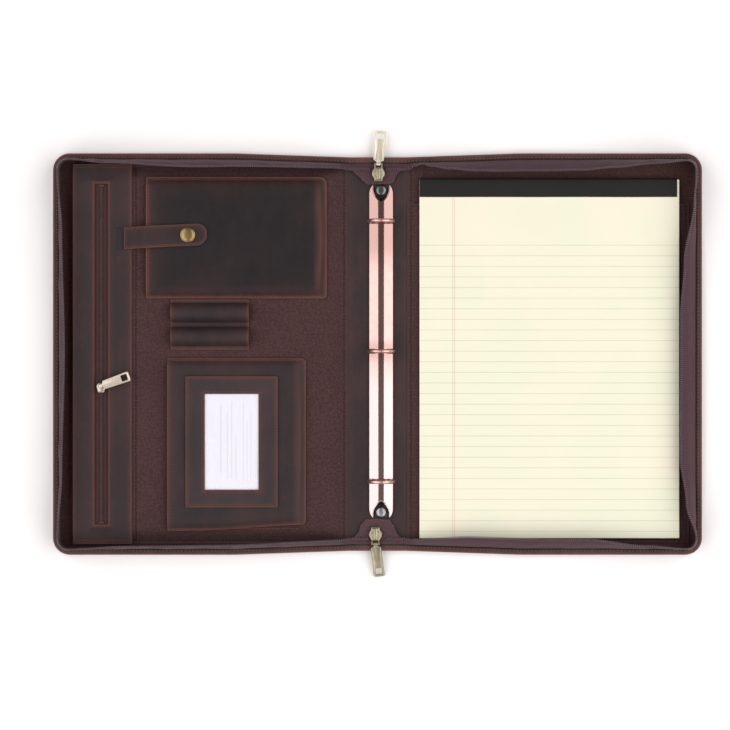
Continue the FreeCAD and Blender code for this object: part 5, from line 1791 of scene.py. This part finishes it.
add(shape, "pocketSlider", "nickelMetal", "pocket_zip_slider", "pull_metal", "pocket_slider", sharp=40)
shape = Shape()
route = [pocketPin + tilt @ Vector((0, reach, 0)) for reach, _ in pocketSlider["pin"]]
tube(shape, route, [radius for _, radius in pocketSlider["pin"]], 18)
add(shape, "pocketPin", "steelMetal", "pocket_zip_slider", "steel", "pocket_bail_pin", sharp=40)
pocketPlace = hung(pocketPin + Vector(pocketSlider["pullShift"]), *hangs["pocket"])
pullTab("pocketPull", "pocket_pull", "pocket_zip_pull", pocketPlace, "nickelMetal", "pull_metal",
        pocketSlider["pull"])

# finishes of the pieces that stay as built
kept = {
    "greyBoard": ("front_board", "back_board", "spine_board"),
    "liningCloth": ("front_lining", "back_lining"),
    "steelMetal": ("left_blade", "right_blade", "rivet_washers", "snap_socket", "snap_stud"),
}
for paint, nodes in kept.items():
    for node in nodes:
        for holder in frame["nodes"][node].material_slots:
            holder.link = "OBJECT"
            holder.material = paints[paint]


# floor, light, camera
print("stage")
stage = {
    "camera": (-10.4, -9.1, 2400),
    "frameWidth": 606,      # width of the view at the height of the pages
    "pageHeight": 10,
    "sensor": 36,
    "floorReach": 4000,
    "floorHeight": -0.4,
    "lightPower": 55.5,
    "lightSize": (2300, 4600),
    "lightPlace": (1515, -250, 1565),
    "lightTarget": (0, -60, 0),
    "sky": (1.0, 0.8, 0.75, 1),
    "skyPower": 0.21,
}
floorPaint = Paint("floorPaint", Specular_IOR_Level=0.1)
mottle = floorPaint.noise(300)
floorTone = floorPaint.blend(mottle, (254, 254, 254), (252, 252, 253))
paints["floorPaint"] = floorPaint.feed(floorTone, mottle * 0.05 + 0.85, None)
shape = Shape()
reach = stage["floorReach"]
shape.loft([[(x, y, stage["floorHeight"]) for x in (-reach, reach)] for y in (-reach, reach)], False, False)
floor = shape.build("studioFloor", "floorPaint")


def softbox(name, way, power):
    place = Vector(stage["lightPlace"])
    place.x *= way
    data = bpy.data.lights.new(name, "AREA")
    data.shape = "RECTANGLE"
    data.size_y, data.size = [v * mm for v in stage["lightSize"]]
    data.energy = power
    lamp = bpy.data.objects.new(name, data)
    bpy.context.scene.collection.objects.link(lamp)
    lamp.location = place * mm
    lamp.rotation_euler = (Vector(stage["lightTarget"]) - place).to_track_quat("-Z", "Y").to_euler()
    lamp.visible_camera = False


softbox("leftBox", -1, stage["lightPower"])
softbox("rightBox", 1, stage["lightPower"] * 1.1)

world = bpy.data.worlds.new("studio")
bpy.context.scene.world = world
world.use_nodes = True
sky = world.node_tree.nodes["Background"].inputs
sky["Color"].default_value = stage["sky"]
sky["Strength"].default_value = stage["skyPower"]

cameraData = bpy.data.cameras.new("camera")
cameraData.sensor_width = stage["sensor"]
cameraData.lens = stage["sensor"] * (stage["camera"][2] - stage["pageHeight"]) / stage["frameWidth"]
cameraData.clip_end = 20
camera = bpy.data.objects.new("camera", cameraData)
bpy.context.scene.collection.objects.link(camera)
camera.location = Vector(stage["camera"]) * mm
bpy.context.scene.camera = camera
bpy.context.scene.view_settings.view_transform = "Standard"
